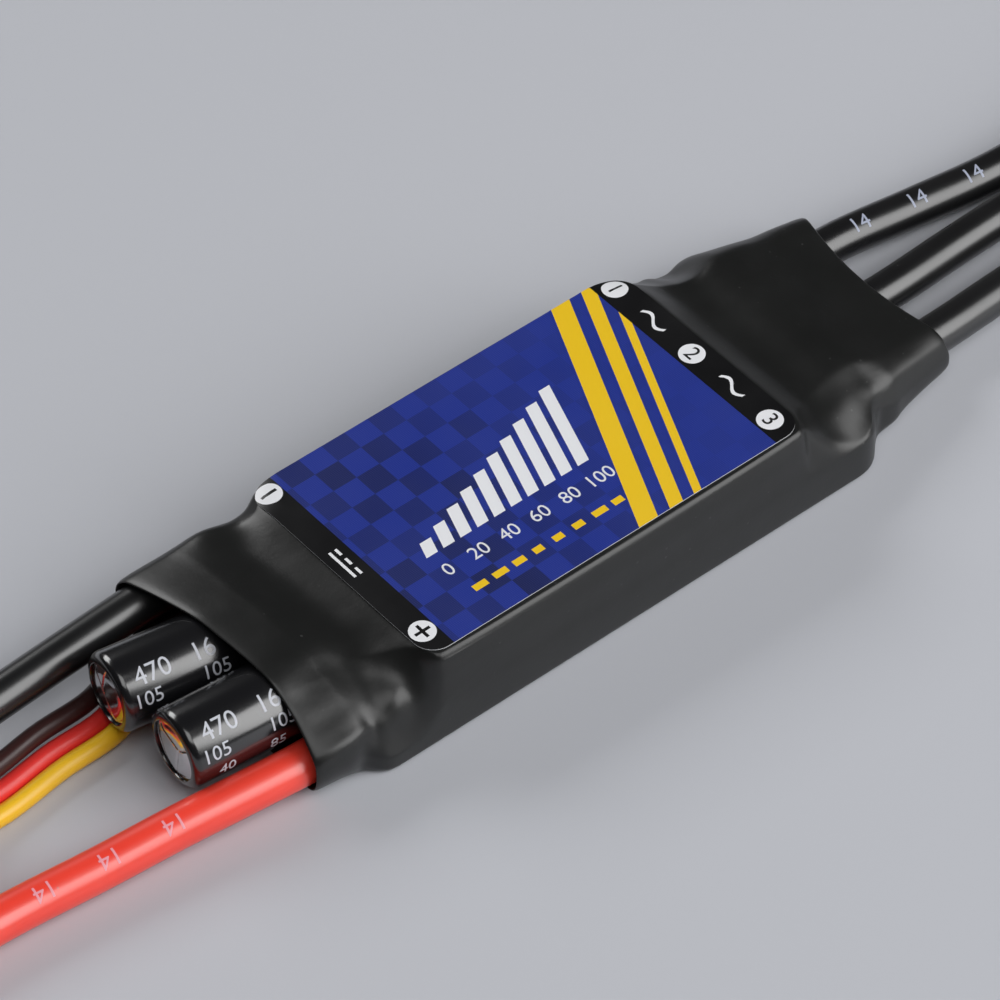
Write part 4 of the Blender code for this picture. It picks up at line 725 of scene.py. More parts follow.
def effect_tree(name):
    """The node group of an effect, made when it is first asked for."""
    tree = bpy.data.node_groups.get(name)
    if tree:
        return tree
    inputs, outputs, fill = EFFECTS[name]
    tree = bpy.data.node_groups.new(name, "ShaderNodeTree")
    for label in inputs:
        kind = "NodeSocketVector" if label in VECTOR_INPUTS else "NodeSocketFloat"
        tree.interface.new_socket(label, in_out="INPUT", socket_type=kind)
    for label in outputs:
        tree.interface.new_socket(label, in_out="OUTPUT", socket_type="NodeSocketFloat")
    sheet = Sheet(tree)
    made = fill(sheet, tree.nodes.new("NodeGroupInput").outputs)
    for socket, value in zip(tree.nodes.new("NodeGroupOutput").inputs, made):
        sheet.feed(socket, value)
    return tree


def new_look(name, roughness, metallic=0.0, coat=0.0, specular=0.5):
    """An empty Principled material: its sheet and its shader."""
    look = bpy.data.materials.new(name)
    look.use_nodes = True
    shader = look.node_tree.nodes["Principled BSDF"]
    shader.inputs["Roughness"].default_value = roughness
    shader.inputs["Metallic"].default_value = metallic
    shader.inputs["Coat Weight"].default_value = coat
    shader.inputs["Specular IOR Level"].default_value = specular
    return look, Sheet(look.node_tree), shader


def finish(sheet, shader, tone, roughness=None, height=None, depth=0.0, strength=1.0):
    """Feed a shader its colour, its roughness and a bump."""
    sheet.feed(shader.inputs["Base Color"], tone)
    if roughness is not None:
        sheet.feed(shader.inputs["Roughness"], roughness)
    if height is not None:
        made = sheet.node("Bump")
        sheet.feed(made.inputs["Height"], height)
        made.inputs["Distance"].default_value = depth
        made.inputs["Strength"].default_value = strength
        sheet.feed(shader.inputs["Normal"], made.outputs["Normal"])


# Materials

def shrink_film_look():
    """Matt black film with a fine grain, slow patches of shine and a little dust."""
    look = bpy.data.materials.get("shrink film")
    if look:
        return look
    chosen = settings("sleeve")
    look, sheet, shader = new_look("shrink film", 0.5)
    place = sheet.position()
    grain = sheet.grain(place, 2600.0)
    specks = sheet.effect("fine dust", position=place, scale=1250.0, size=0.16, share=0.30)["Mask"]
    haze = sheet.ramp(sheet.noise(place, 160.0, 3.0), 0.0, 0.35, 0.45, 0.75)
    shown = sheet.times(specks, sheet.ramp(sheet.noise(place, 90.0), 0.1, 1.0, 0.35, 0.65), 0.42)
    tone = sheet.mix(shown, sheet.mix(haze, chosen.film, tinted(chosen.film, 1.7)), chosen.dust)
    waves = sheet.times(sheet.noise(place, 330.0, 1.5), 4.0)
    finish(sheet, shader, tone, sheet.ramp(grain["Patches"], 0.29, 0.38, *PATCHES),
           sheet.math("ADD", grain["Height"], waves), 0.000012, 0.6)
    return look


def silicone_look(name, tone):
    """Smooth silicone with a little dust."""
    look, sheet, shader = new_look(name, 0.28, specular=0.95)
    place = sheet.position()
    grain = sheet.grain(place, 900.0)
    specks = sheet.effect("fine dust", position=place, scale=900.0, size=0.14, share=0.16)["Mask"]
    body = sheet.mix(sheet.ramp(grain["Patches"], 0.0, 0.8, 0.35, 0.7), tone, tinted(tone, 1.25, 0.004))
    body = sheet.mix(sheet.times(specks, 0.25), body, DUST_TONE)
    finish_wire(sheet, shader, body, grain, (0.25, 0.32), 0.35)
    return look


def vinyl_look(name, tone):
    """Soft vinyl of a thin wire, a little uneven."""
    look, sheet, shader = new_look(name, 0.38)
    grain = sheet.grain(sheet.position(), 1400.0)
    body = sheet.mix(sheet.ramp(grain["Patches"], 0.0, 0.7, 0.35, 0.7), tone, tinted(tone, 0.80))
    finish_wire(sheet, shader, body, grain, (0.30, 0.42), 0.4)
    return look


def finish_wire(sheet, shader, body, grain, shine, strength):
    """A wire's skin, and its stripped core where the length along the wire is below zero."""
    bare = sheet.less(sheet.parts(sheet.uv())[0], 0.0)
    sheet.feed(shader.inputs["Metallic"], bare)
    finish(sheet, shader, sheet.mix(bare, body, CORE_TONE), sheet.ramp(grain["Patches"], *shine, *PATCHES),
           grain["Height"], 0.000010, strength)


def metal_look(name, tone, roughness, stretch=DRAWN_ALONG_X):
    """Plain metal with fine drawn lines along one direction of its place."""
    look, sheet, shader = new_look(name, roughness, metallic=1.0)
    place = sheet.node("Mapping")
    sheet.feed(place.inputs["Vector"], sheet.position())
    place.inputs["Scale"].default_value = stretch
    lines = sheet.noise(place.outputs[0], 2200.0, 3.0, 0.6)
    finish(sheet, shader, sheet.mix(lines, tone, tinted(tone, 0.78)),
           sheet.ramp(lines, roughness - 0.08, roughness + 0.10, *PATCHES), lines, 0.000006, 0.35)
    return look


def moulded_look(name, tone, roughness=0.46, scale=1500.0):
    """Moulded plastic, resin or rubber with a fine skin."""
    look, sheet, shader = new_look(name, roughness)
    grain = sheet.grain(sheet.position(), scale)
    patches = sheet.ramp(grain["Patches"], 0.0, 0.8, *PATCHES)
    finish(sheet, shader, sheet.mix(patches, tone, tinted(tone, 1.3, 0.003)),
           sheet.ramp(grain["Height"], roughness - 0.07, roughness + 0.07, 0.5, 1.1),
           grain["Height"], 0.000014, 0.5)
    return look


def ink_look(name, tone):
    """Printing ink, a little worn."""
    look, sheet, shader = new_look(name, 0.42)
    worn = sheet.noise(sheet.position(), 2600.0, 3.0)
    finish(sheet, shader, sheet.mix(worn, tone, tinted(tone, 0.85, 0.004)),
           sheet.ramp(worn, 0.36, 0.50, *PATCHES))
    return look


def label_look():
    """Blue field of squares, black end strips, terminal discs, a rising gauge and slanted stripes."""
    chosen = settings("label")
    look, sheet, shader = new_look("label print", 0.36)
    place = sheet.position()
    x, y, _ = sheet.parts(place)
    flat = sheet.vector(x, y)
    tone = label_field(sheet, chosen, x, y)
    for middle, half in STRIPES:
        stripe = sheet.bar(flat, (middle, 0.0), (half, STRIPE_REACH), STRIPE_SLANT)
        tone = sheet.mix(stripe, tone, chosen.yellow)
    white = []
    for step in range(GAUGE_BARS):
        tall = GAUGE_LOW + GAUGE_RISE * step
        foot = GAUGE_START + GAUGE_PITCH * step
        centre = (foot + GAUGE_SLANT * tall / 2, GAUGE_FOOT + tall / 2)
        white.append(sheet.bar(flat, centre, (GAUGE_PITCH * GAUGE_FILLED, tall / 2), GAUGE_SLANT))
    tone = sheet.mix(sheet.most(*white), tone, chosen.white)
    across = sheet.math("ADD", y, -DASHES_Y)
    tone = sheet.mix(sheet.effect("printed dashes", along=x, across=across, **DASHES)["Mask"], tone,
                     chosen.yellow)
    strips = sheet.math("ADD", sheet.less(x, BATTERY_STRIP_X), sheet.math("GREATER_THAN", x, MOTOR_STRIP_X))
    tone = sheet.mix(strips, tone, chosen.strip)
    tone = sheet.mix(label_signs(sheet, chosen, x, y, flat), tone, chosen.white)
    tone = sheet.mix(label_polarity(sheet, chosen, flat), tone, chosen.strip)
    grain = sheet.grain(place, 1500.0)
    finish(sheet, shader, tone, sheet.ramp(grain["Patches"], 0.30, 0.42, *PATCHES),
           grain["Height"], 0.000006, 0.3)
    return look


def label_field(sheet, chosen, x, y):
    """Squares of unlike depth that fade towards the motor end, under a fine screen of dots."""
    column, row = (sheet.math("FLOOR", sheet.math("DIVIDE", part, chosen.square)) for part in (x, y))
    dark = sheet.math("FLOORED_MODULO", sheet.math("ADD", column, row), 2.0)
    cell = sheet.node("TexWhiteNoise", noise_dimensions="2D")
    sheet.feed(cell.inputs["Vector"], sheet.vector(column, row))
    depth = sheet.ramp(cell.outputs["Value"], 0.45, 1.0)
    fade = sheet.ramp(x, 1.0, 0.12, -0.010, 0.011)
    tone = sheet.mix(sheet.times(dark, depth, fade), chosen.field, chosen.square_ink)
    dots = sheet.times(*(sheet.math("SINE", sheet.times(sheet.math(way, x, y), SCREEN_TURN))
                         for way in ("ADD", "SUBTRACT")))
    return sheet.mix(sheet.ramp(dots, 0.0, 0.04), tone, chosen.white)


def label_signs(sheet, chosen, x, y, flat):
    """White discs at the terminals, the sign of direct current and that of alternating current."""
    signs = []
    for centre in (MINUS_DISC, PLUS_DISC, *MOTOR_DISCS):
        away = sheet.node("VectorMath", operation="DISTANCE")
        sheet.feed(away.inputs[0], flat)
        away.inputs[1].default_value = (*centre, 0.0)
        signs.append(sheet.less(away.outputs["Value"], chosen.disc))
    signs.append(sheet.bar(flat, (DIRECT_OVER_X, DIRECT_Y), (DIRECT_LINE, DIRECT_OVER_HALF)))
    for step in (-1, 0, 1):
        centre = (DIRECT_UNDER_X, DIRECT_Y + step * DIRECT_UNDER_PITCH)
        signs.append(sheet.bar(flat, centre, (DIRECT_LINE, DIRECT_UNDER_HALF)))
    for first, second in zip(MOTOR_DISCS, MOTOR_DISCS[1:]):
        along = sheet.math("SUBTRACT", y, (first[1] + second[1]) / 2)
        swing = sheet.times(sheet.math("SINE", sheet.times(along, WAVE_TURN)), WAVE_SWING)
        off = sheet.math("ABSOLUTE", sheet.math("SUBTRACT", sheet.math("SUBTRACT", x, WAVE_X), swing))
        reach = sheet.less(sheet.math("ABSOLUTE", along), WAVE_REACH)
        signs.append(sheet.times(sheet.less(off, WAVE_LINE), reach))
    return sheet.most(*signs)


def label_polarity(sheet, chosen, flat):
    """Minus and plus in their discs."""
    level = (chosen.disc * SIGN_REACH, SIGN_LINE)
    upright = (SIGN_LINE, chosen.disc * SIGN_REACH)
    return sheet.most(*(sheet.bar(flat, centre, size) for centre, size in (
        (MINUS_DISC, level), (PLUS_DISC, upright), (PLUS_DISC, level))))


def paper_look():
    """White cut edge of the label."""
    look, sheet, shader = new_look("label paper", 0.6)
    fibre = sheet.noise(sheet.position(), 3000.0, 3.0)
    finish(sheet, shader, sheet.mix(fibre, (0.72, 0.73, 0.75), (0.60, 0.61, 0.63)))
    return look


def capacitor_film_look():
    """Glossy shrunk film of a capacitor."""
    film = settings("capacitors").film
    look, sheet, shader = new_look("capacitor film", 0.20, coat=1.0, specular=0.62)
    shader.inputs["Coat Roughness"].default_value = 0.17
    grain = sheet.grain(sheet.position(), 1100.0)
    finish(sheet, shader, sheet.mix(grain["Patches"], film, tinted(film, 1.5)),
           sheet.ramp(grain["Patches"], 0.17, 0.24, *PATCHES), grain["Height"], 0.000004, 0.2)
    return look


def inner_looks():
    """Finishes of the pieces under the film, by their slot in the record."""
    metal = settings("capacitors").metal
    gold = settings("plugs").gold
    return {
        "aluminium": metal_look("drawn aluminium", metal, 0.30, (0.15, 1.0, 1.0)),
        "thermal_silicone": moulded_look("thermal silicone", (0.36, 0.39, 0.44), 0.78, 700.0),
        "board_laminate": moulded_look("board laminate", (0.008, 0.070, 0.032), 0.40, 1800.0),
        "chip_resin": moulded_look("chip resin", (0.016, 0.016, 0.018), 0.55, 2400.0),
        "ferrite": moulded_look("ferrite", (0.050, 0.050, 0.056), 0.70, 2200.0),
        "brass": metal_look("plated brass", gold, 0.24, (1.0, 0.2, 1.0)),
        "tinned_steel": metal_look("tinned steel", (0.70, 0.70, 0.71), 0.30),
        "rubber": moulded_look("bung rubber", (0.014, 0.014, 0.014), 0.75, 1600.0),
    }


# Leads

def curve_point(knots, times, portion):
    """A point on the centripetal curve between the second and the third of four knots."""
    now = times[1] + (times[2] - times[1]) * portion
    points = list(knots)
    for order in (1, 2):
        points = [first.lerp(second, (now - times[index]) / (times[index + order] - times[index]))
                  for index, (first, second) in enumerate(zip(points, points[1:]))]
    return points[0].lerp(points[1], portion)


def smooth_route(points, spacing):
    """Points at one spacing on a smooth curve that passes through the route's own points."""
    knots = [Vector(point) for point in points]
    knots = [2 * knots[0] - knots[1]] + knots + [2 * knots[-1] - knots[-2]]
    route = []
    for group in zip(knots, knots[1:], knots[2:], knots[3:]):
        times = [0.0]
        for first, second in zip(group, group[1:]):
            times.append(times[-1] + math.sqrt((second - first).length))
        steps = max(2, math.ceil((group[2] - group[1]).length / (spacing / 4)))
        route.extend(curve_point(group, times, step / steps) for step in range(steps))
    fine = np.array(route + [knots[-2]])
    gone = lengths_along(fine)
    wanted = np.linspace(0.0, gone[-1], round(gone[-1] / spacing) + 1)
    return np.stack([np.interp(wanted, gone, fine[:, axis]) for axis in range(3)], axis=1), wanted


def straight_end(end, side, run, diameter):
    """The last points of a route that runs straight along X into a plug, coming from one side."""
    return tuple(end + Vector((side * away, 0.0, 0.0)) for away in (run + diameter, run + diameter / 4, 0.0))


def half_turn(x, first_y, last_y, z, side):
    radius = abs(last_y - first_y) / 2
    middle = (first_y + last_y) / 2
    turn = math.copysign(math.pi, last_y - first_y)
    angles = [turn * (step / FOLD_TURN_STEPS - 0.5) for step in range(FOLD_TURN_STEPS + 1)]
    return [(x + side * radius * math.cos(now), middle + radius * math.sin(now), z) for now in angles]


def fold_route(level):
    """The folded stretch of one servo wire: out, a half turn, back, a half turn inside it, and out."""
    z = FOLD_LOW_Z + level * FOLD_PITCH
    tie_ends = (TIE_X + TIE_STRAIGHT, TIE_X - TIE_STRAIGHT)
    out = [(x, FOLD_OUT_Y, z) for x in (FOLD_NEAR, *tie_ends)]
    back = [(x, FOLD_BACK_Y, z) for x in reversed(tie_ends)]
    last = [(x, FOLD_LAST_Y, z) for x in tie_ends]
    far_turn = half_turn(FOLD_FAR, FOLD_OUT_Y, FOLD_BACK_Y, z, -1)
    near_turn = half_turn(FOLD_NEAR, FOLD_BACK_Y, FOLD_LAST_Y, z, 1)
    return tuple(out + far_turn + back + near_turn + last)


def frames_along(points):
    """Directions square to a route at each of its points: to its right and upwards."""
    ahead = np.gradient(points, axis=0)
    ahead /= np.linalg.norm(ahead, axis=1)[:, None]
    aside = np.cross(ahead, (0.0, 0.0, 1.0))
    aside /= np.linalg.norm(aside, axis=1)[:, None]
    return aside, np.cross(aside, ahead)


def lead(name, knots, diameter, core, bare, look, slot):
    """A wire along its route, with a stripped start. Its UV map is the length and the way round."""
    points, gone = smooth_route(knots, WIRE_STEP)
    radii = np.where(gone < bare, core, diameter) / 2
    aside, above = (ways[:, None, :] for ways in frames_along(points))
    angles = (np.pi + 2 * np.pi * np.arange(WIRE_SIDES) / WIRE_SIDES)[None, :, None]
    places = points[:, None, :] + radii[:, None, None] * (np.cos(angles) * above + np.sin(angles) * aside)
    faces = []
    for here in range(0, (len(points) - 1) * WIRE_SIDES, WIRE_SIDES):
        for step in range(WIRE_SIDES):
            after = (step + 1) % WIRE_SIDES
            faces.append((here + step, here + after, here + WIRE_SIDES + after, here + WIRE_SIDES + step))
    last = (len(points) - 1) * WIRE_SIDES
    faces.append(tuple(reversed(range(WIRE_SIDES))))
    faces.append(tuple(range(last, last + WIRE_SIDES)))
    mesh = bpy.data.meshes.new(name)
    mesh.from_pydata(places.reshape(-1, 3).tolist(), [], faces)
    layer = mesh.uv_layers.new(name="UVMap")
    for face in mesh.polygons:
        steps = [mesh.loops[index].vertex_index % WIRE_SIDES for index in face.loop_indices]
        for index, step in zip(face.loop_indices, steps):
            row = mesh.loops[index].vertex_index // WIRE_SIDES
            turn = WIRE_SIDES if step == 0 and max(steps) == WIRE_SIDES - 1 else step
            layer.data[index].uv = (gone[row] - bare, (turn / WIRE_SIDES - 0.5) * math.pi * diameter)
    item = bpy.data.objects.new(name, mesh)
    bpy.context.scene.collection.objects.link(item)
    shade(item)
    dress(item, [look], slot, name.replace("lead", "wire"))
    item["route"] = points.reshape(-1).tolist()
    return item


def route_of(item):
    return np.array(item["route"]).reshape(-1, 3)


class CONTROLLER_OT_stage(Operator):
    """Add the floor, the light and the camera"""

    bl_idname = "controller.stage"
    bl_label = "Stage"

    def execute(self, context):
        chosen = settings("stage")
        self.add_floor(chosen)
        self.add_camera(context, chosen)
        self.add_lights(context, chosen)
        context.scene.view_settings.view_transform = "Standard"
        return {"FINISHED"}

    def add_floor(self, chosen):
        bpy.ops.object.select_all(action="DESELECT")
        bpy.ops.mesh.primitive_plane_add(size=FLOOR_SIZE, location=(0.0, 0.0, FLOOR_Z))
        floor = bpy.context.active_object
        floor.name = "floor"
        look, _, shader = new_look("floor", 0.5, specular=0.25)
        shader.inputs["Base Color"].default_value = (*chosen.floor, 1.0)
        floor.data.materials.append(look)

    def add_camera(self, context, chosen):
        lens = bpy.data.cameras.new("camera")
        lens.lens = chosen.lens
        lens.sensor_width = SENSOR_WIDTH
        lens.clip_start = CLIP_START
        camera = bpy.data.objects.new("camera", lens)
        context.scene.collection.objects.link(camera)
        right = Vector((math.cos(chosen.azimuth), math.sin(chosen.azimuth), 0.0))
        flat = math.cos(chosen.elevation)
        back = Vector((right.y * flat, -right.x * flat, math.sin(chosen.elevation)))
        turn = Matrix((right, back.cross(right), back)).transposed().to_4x4()
        turn.translation = Vector(chosen.middle) + back * chosen.distance
        camera.matrix_world = turn
        context.scene.camera = camera

    def add_lights(self, context, chosen):
        world = bpy.data.worlds.new("surroundings")
        world.use_nodes = True
        sky = world.node_tree.nodes["Background"].inputs["Color"]
        sky.default_value = (chosen.sky, chosen.sky, chosen.sky, 1.0)
        context.scene.world = world
        for name, (place, size) in SOFTBOXES.items():
            lamp = bpy.data.lights.new(f"{name} softbox", "AREA")
            lamp.shape = "RECTANGLE"
            lamp.size, lamp.size_y = size
            lamp.energy = getattr(chosen, name)
            light = bpy.data.objects.new(lamp.name, lamp)
            context.scene.collection.objects.link(light)
            light.location = place
            light.rotation_euler = Vector(place).to_track_quat("Z", "Y").to_euler()


class CONTROLLER_OT_power_leads(Operator):
    """Add the motor wires and the battery wires"""

    bl_idname = "controller.power_leads"
    bl_label = "Power leads"

    def execute(self, context):
        chosen = settings("wires")
        black = (silicone_look("black silicone", chosen.black), "silicone_black")
        red = (silicone_look("red silicone", chosen.hot), "silicone_red")
        for number, start in enumerate(MOTOR_ROUTES, 1):
            end = MOTOR_LEAD_END + Vector((0.0, (2 - number) * MOTOR_LEAD_PITCH, 0.0))
            knots = start + straight_end(end, -1, BULLET_OVERLAP, chosen.power)
            lead(f"motor_lead_{number}", knots, chosen.power, chosen.power_core, MOTOR_BARE, *black)
        for sign, name, dressing in ((1, "negative", black), (-1, "positive", red)):
            end = BATTERY_LEAD_END + Vector((0.0, sign * BATTERY_BLADE_PITCH / 2, 0.0))
            knots = BATTERY_ROUTES[name] + straight_end(end, 1, BATTERY_TUBE_OVERLAP, chosen.power)
            bare = BATTERY_BARE[name]
            lead(f"battery_lead_{name}", knots, chosen.power, chosen.power_core, bare, *dressing)
        self.print_size("motor_lead_1", 1, ink_look("pale wire print", chosen.pale_ink), black[1])
        self.print_size("battery_lead_positive", -1, ink_look("pink wire print", chosen.pink_ink), red[1])
        return {"FINISHED"}

    def print_size(self, name, side, ink, slot):
        """The wire's size number, again and again along the side of the wire that looks up and to -Y."""
        points = route_of(bpy.data.objects[name])
        aside, above = frames_along(points)
        gone = lengths_along(points)
        radius = settings("wires").power / 2
        rows = []
        for middle in WIRE_MARK_PLACES:
            figures = printed_number("figures", WIRE_MARK, WIRE_MARK_SIZE, WIRE_STRIPS)
            for point in figures.data.vertices:
                run = middle + point.co.x
                place, right, up = (Vector([np.interp(run, gone, values[:, axis]) for axis in range(3)])
                                    for values in (points, aside, above))
                turn = side * WIRE_MARK_TURN - point.co.y / radius
                outwards = right * math.sin(turn) + up * math.cos(turn)
                point.co = place + outwards * (radius + point.co.z + INK_HALF)
            rows.append(figures)
        dress(joined(f"{name}_figures", rows), [ink], slot)


class CONTROLLER_OT_servo_lead(Operator):
    """Add the three servo wires, folded and tied"""

    bl_idname = "controller.servo_lead"
    bl_label = "Servo lead"

    def execute(self, context):
        chosen = settings("wires")
        for level, (name, start) in enumerate(zip(SERVO_COLOURS, SERVO_ROUTES)):
            end = SERVO_LEAD_END + Vector((0.0, 0.0, (level - 1) * SERVO_PITCH))
            knots = start + fold_route(level) + straight_end(end, 1, SERVO_WIRE_DEPTH, chosen.servo)
            lead(f"servo_lead_{name}", knots, chosen.servo, chosen.servo_core, SERVO_BARE,
                 vinyl_look(f"{name} vinyl", getattr(chosen, name)), f"vinyl_{name}")
        nylon = moulded_look("tie nylon", settings("plugs").black, 0.42)
        softened_node("servo_lead_tie", "servo_tie", TIE_EDGE, 3, nylon, "black_nylon")
        return {"FINISHED"}


class CONTROLLER_OT_bullet_sockets(Operator):
    """Add the plated sockets on the motor wires and their insulating sleeves"""

    bl_idname = "controller.bullet_sockets"
    bl_label = "Bullet sockets"

    def execute(self, context):
        brass = metal_look("plated socket", settings("plugs").gold, 0.22)
        for number in (1, 2, 3):
            place, outer, run = round_node(f"bullet_socket_{number}")
            bore = outer - SOCKET_WALL
            profile = (
                (SOCKET_CUP, SOCKET_FLOOR), (SOCKET_CUP, bore), (0.0002, bore), (0.0, bore + SOCKET_EDGE),
                (0.0, outer - SOCKET_EDGE), (0.00015, outer),
                *((run - back, outer - inwards) for back, inwards in SOCKET_OUTSIDE),
                *((run - back, bore + outwards) for back, outwards in SOCKET_INSIDE),
                (run - SOCKET_BORE_END, SOCKET_FLOOR),
            )
            turn = along_axis(place, X_AXIS)
            dressed_turn(f"motor_socket_{number}", profile, turn, brass, "brass", f"bullet_socket_{number}")
            self.add_sleeve(number, turn, outer, place.x)
        return {"FINISHED"}

    def add_sleeve(self, number, turn, outer, socket_x):
        node = f"bullet_sleeve_{number}"
        low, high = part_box(node)
        wall = (high.z - low.z) / 2 - outer
        neck = settings("wires").power / 2 + TUBE_CLEARANCE
        back = low.x - socket_x
        front = high.x - socket_x
        foot, bend, shoulder, top = SHOULDER
        profile = (
            (back, neck), (back, neck + wall * 0.8), (back + TUBE_EDGE, neck + wall), (foot, neck + wall),
            (bend, neck + wall * 1.15), (shoulder, outer + wall * 0.8), (top, outer + wall),
            (front - TUBE_EDGE, outer + wall), (front, outer + wall * 0.85), (front, outer + TUBE_CLEARANCE),
            (top, outer + TUBE_CLEARANCE), (foot, neck), (back, neck),
        )
        dressed_turn(f"motor_socket_sleeve_{number}", profile, turn, shrink_film_look(), "shrink_film", node)


class CONTROLLER_OT_battery_plug(Operator):
    """Add the battery plug, its blades and its insulating tubes"""

    bl_idname = "controller.battery_plug"
    bl_label = "Battery plug"

    def execute(self, context):
        chosen = settings("plugs")
        nylon = moulded_look("plug nylon", chosen.red, 0.38)
        softened_node("battery_plug_housing", "battery_plug", BATTERY_PLUG_EDGE, 3, nylon, "plug_nylon")
        brass = metal_look("plated blade", chosen.gold, 0.22)
        inner = settings("wires").power / 2 + TUBE_CLEARANCE
        for name in ("negative", "positive"):
            softened_node(f"battery_plug_blade_{name}", f"battery_blade_{name}", BLADE_EDGE, 2,
                          brass, "brass")
            node = f"battery_tube_{name}"
            place, outer, run = round_node(node)
            profile = (
                (0.0, inner), (0.0, outer - 0.0001), (0.0001, outer), (run * TUBE_STEP_AT[0], outer),
                (run * TUBE_STEP_AT[1], outer - 0.00008), (run - TUBE_EDGE, outer - 0.00012),
                (run, outer - TUBE_EDGE), (run, inner), (0.0, inner),
            )
            dressed_turn(f"battery_sleeve_{name}", profile, along_axis(place, X_AXIS), shrink_film_look(),
                         "shrink_film", node)
        return {"FINISHED"}


class CONTROLLER_OT_servo_plug(Operator):
    """Add the servo plug and its contacts"""

    bl_idname = "controller.servo_plug"
    bl_label = "Servo plug"

    def execute(self, context):
        chosen = settings("plugs")
        nylon = moulded_look("black nylon", chosen.black, 0.44)
        softened_node("servo_plug_housing", "servo_plug", SERVO_PLUG_EDGE, 2, nylon, "black_nylon")
        brass = metal_look("plated contact", chosen.gold, 0.26)
        for number in (1, 2, 3):
            softened_node(f"servo_plug_contact_{number}", f"servo_contact_{number}", CONTACT_EDGE, 2,
                          brass, "brass")
        return {"FINISHED"}


class CONTROLLER_OT_declare_cords(Operator):
    """Read the wire settings and do nothing more"""

    bl_idname = "controller.declare_cords"
    bl_label = "Cords"

    def execute(self, context):
        chosen = settings("wires")
        return {"FINISHED"}


class CONTROLLER_OT_sleeve(Operator):
    """Add the heat-shrink sleeve"""

    bl_idname = "controller.sleeve"
    bl_label = "Heat-shrink sleeve"

    def execute(self, context):
        sleeve = copied_node("heat_shrink_sleeve", "shrunk_sleeve")
        with whole_mesh():
            bpy.ops.mesh.tris_convert_to_quads(face_threshold=math.radians(60),
                                               shape_threshold=math.radians(80))
        rounder = sleeve.modifiers.new("round", "SUBSURF")
        rounder.levels = FILM_ROUNDING
        rounder.render_levels = FILM_ROUNDING
        apply_modifiers(sleeve)
        self.shrink_on(sleeve)
        thinner = sleeve.modifiers.new("thinner", "DECIMATE")
        thinner.ratio = FILM_KEPT
        apply_modifiers(sleeve)
        shade(sleeve, 60.0)
        dress(sleeve, [shrink_film_look()], "shrink_film", "heat_shrink_sleeve")
        return {"FINISHED"}

    def shrink_on(self, sleeve):
        """Fuller edges over the heat sink and the motor wires, and the film's own dents and bulges."""
        points = np.empty(len(sleeve.data.vertices) * 3)
        sleeve.data.vertices.foreach_get("co", points)
        points = points.reshape(-1, 3)
        x, y, z = points.T.copy()
        plate = rise(x, -PLATE_END[1], -PLATE_END[0]) - rise(x, *PLATE_END)
        edge = plate * rise(z, *EDGE_TOP) * rise(np.abs(y), *EDGE_SIDE)
        points[:, 1] += edge * np.where(y < 0, -EDGE_NEAR, EDGE_FAR)
        points[:, 2] -= EDGE_DROP * plate * rise(-y, *DROP_SIDE) * rise(z, *DROP_TOP)
        near, far = (fuller * (rise(x, *swell) * (1 - loss * rise(x, *fade)))
                     for fuller, swell, loss, fade in (NEAR_NECK, FAR_NECK))
        points[:, 1] *= 1 + np.where(y < 0, near, far)
        for press in FILM_PRESSES:
            centre, size, push = (np.array(part) / MILLIMETRES for part in press)
            away = ((points - centre) / size) ** 2
            points += np.exp(-away.sum(axis=1))[:, None] * push
        points[:, 2] = np.maximum(points[:, 2], 0.0)
        sleeve.data.vertices.foreach_set("co", points.reshape(-1))
        sleeve.data.update()


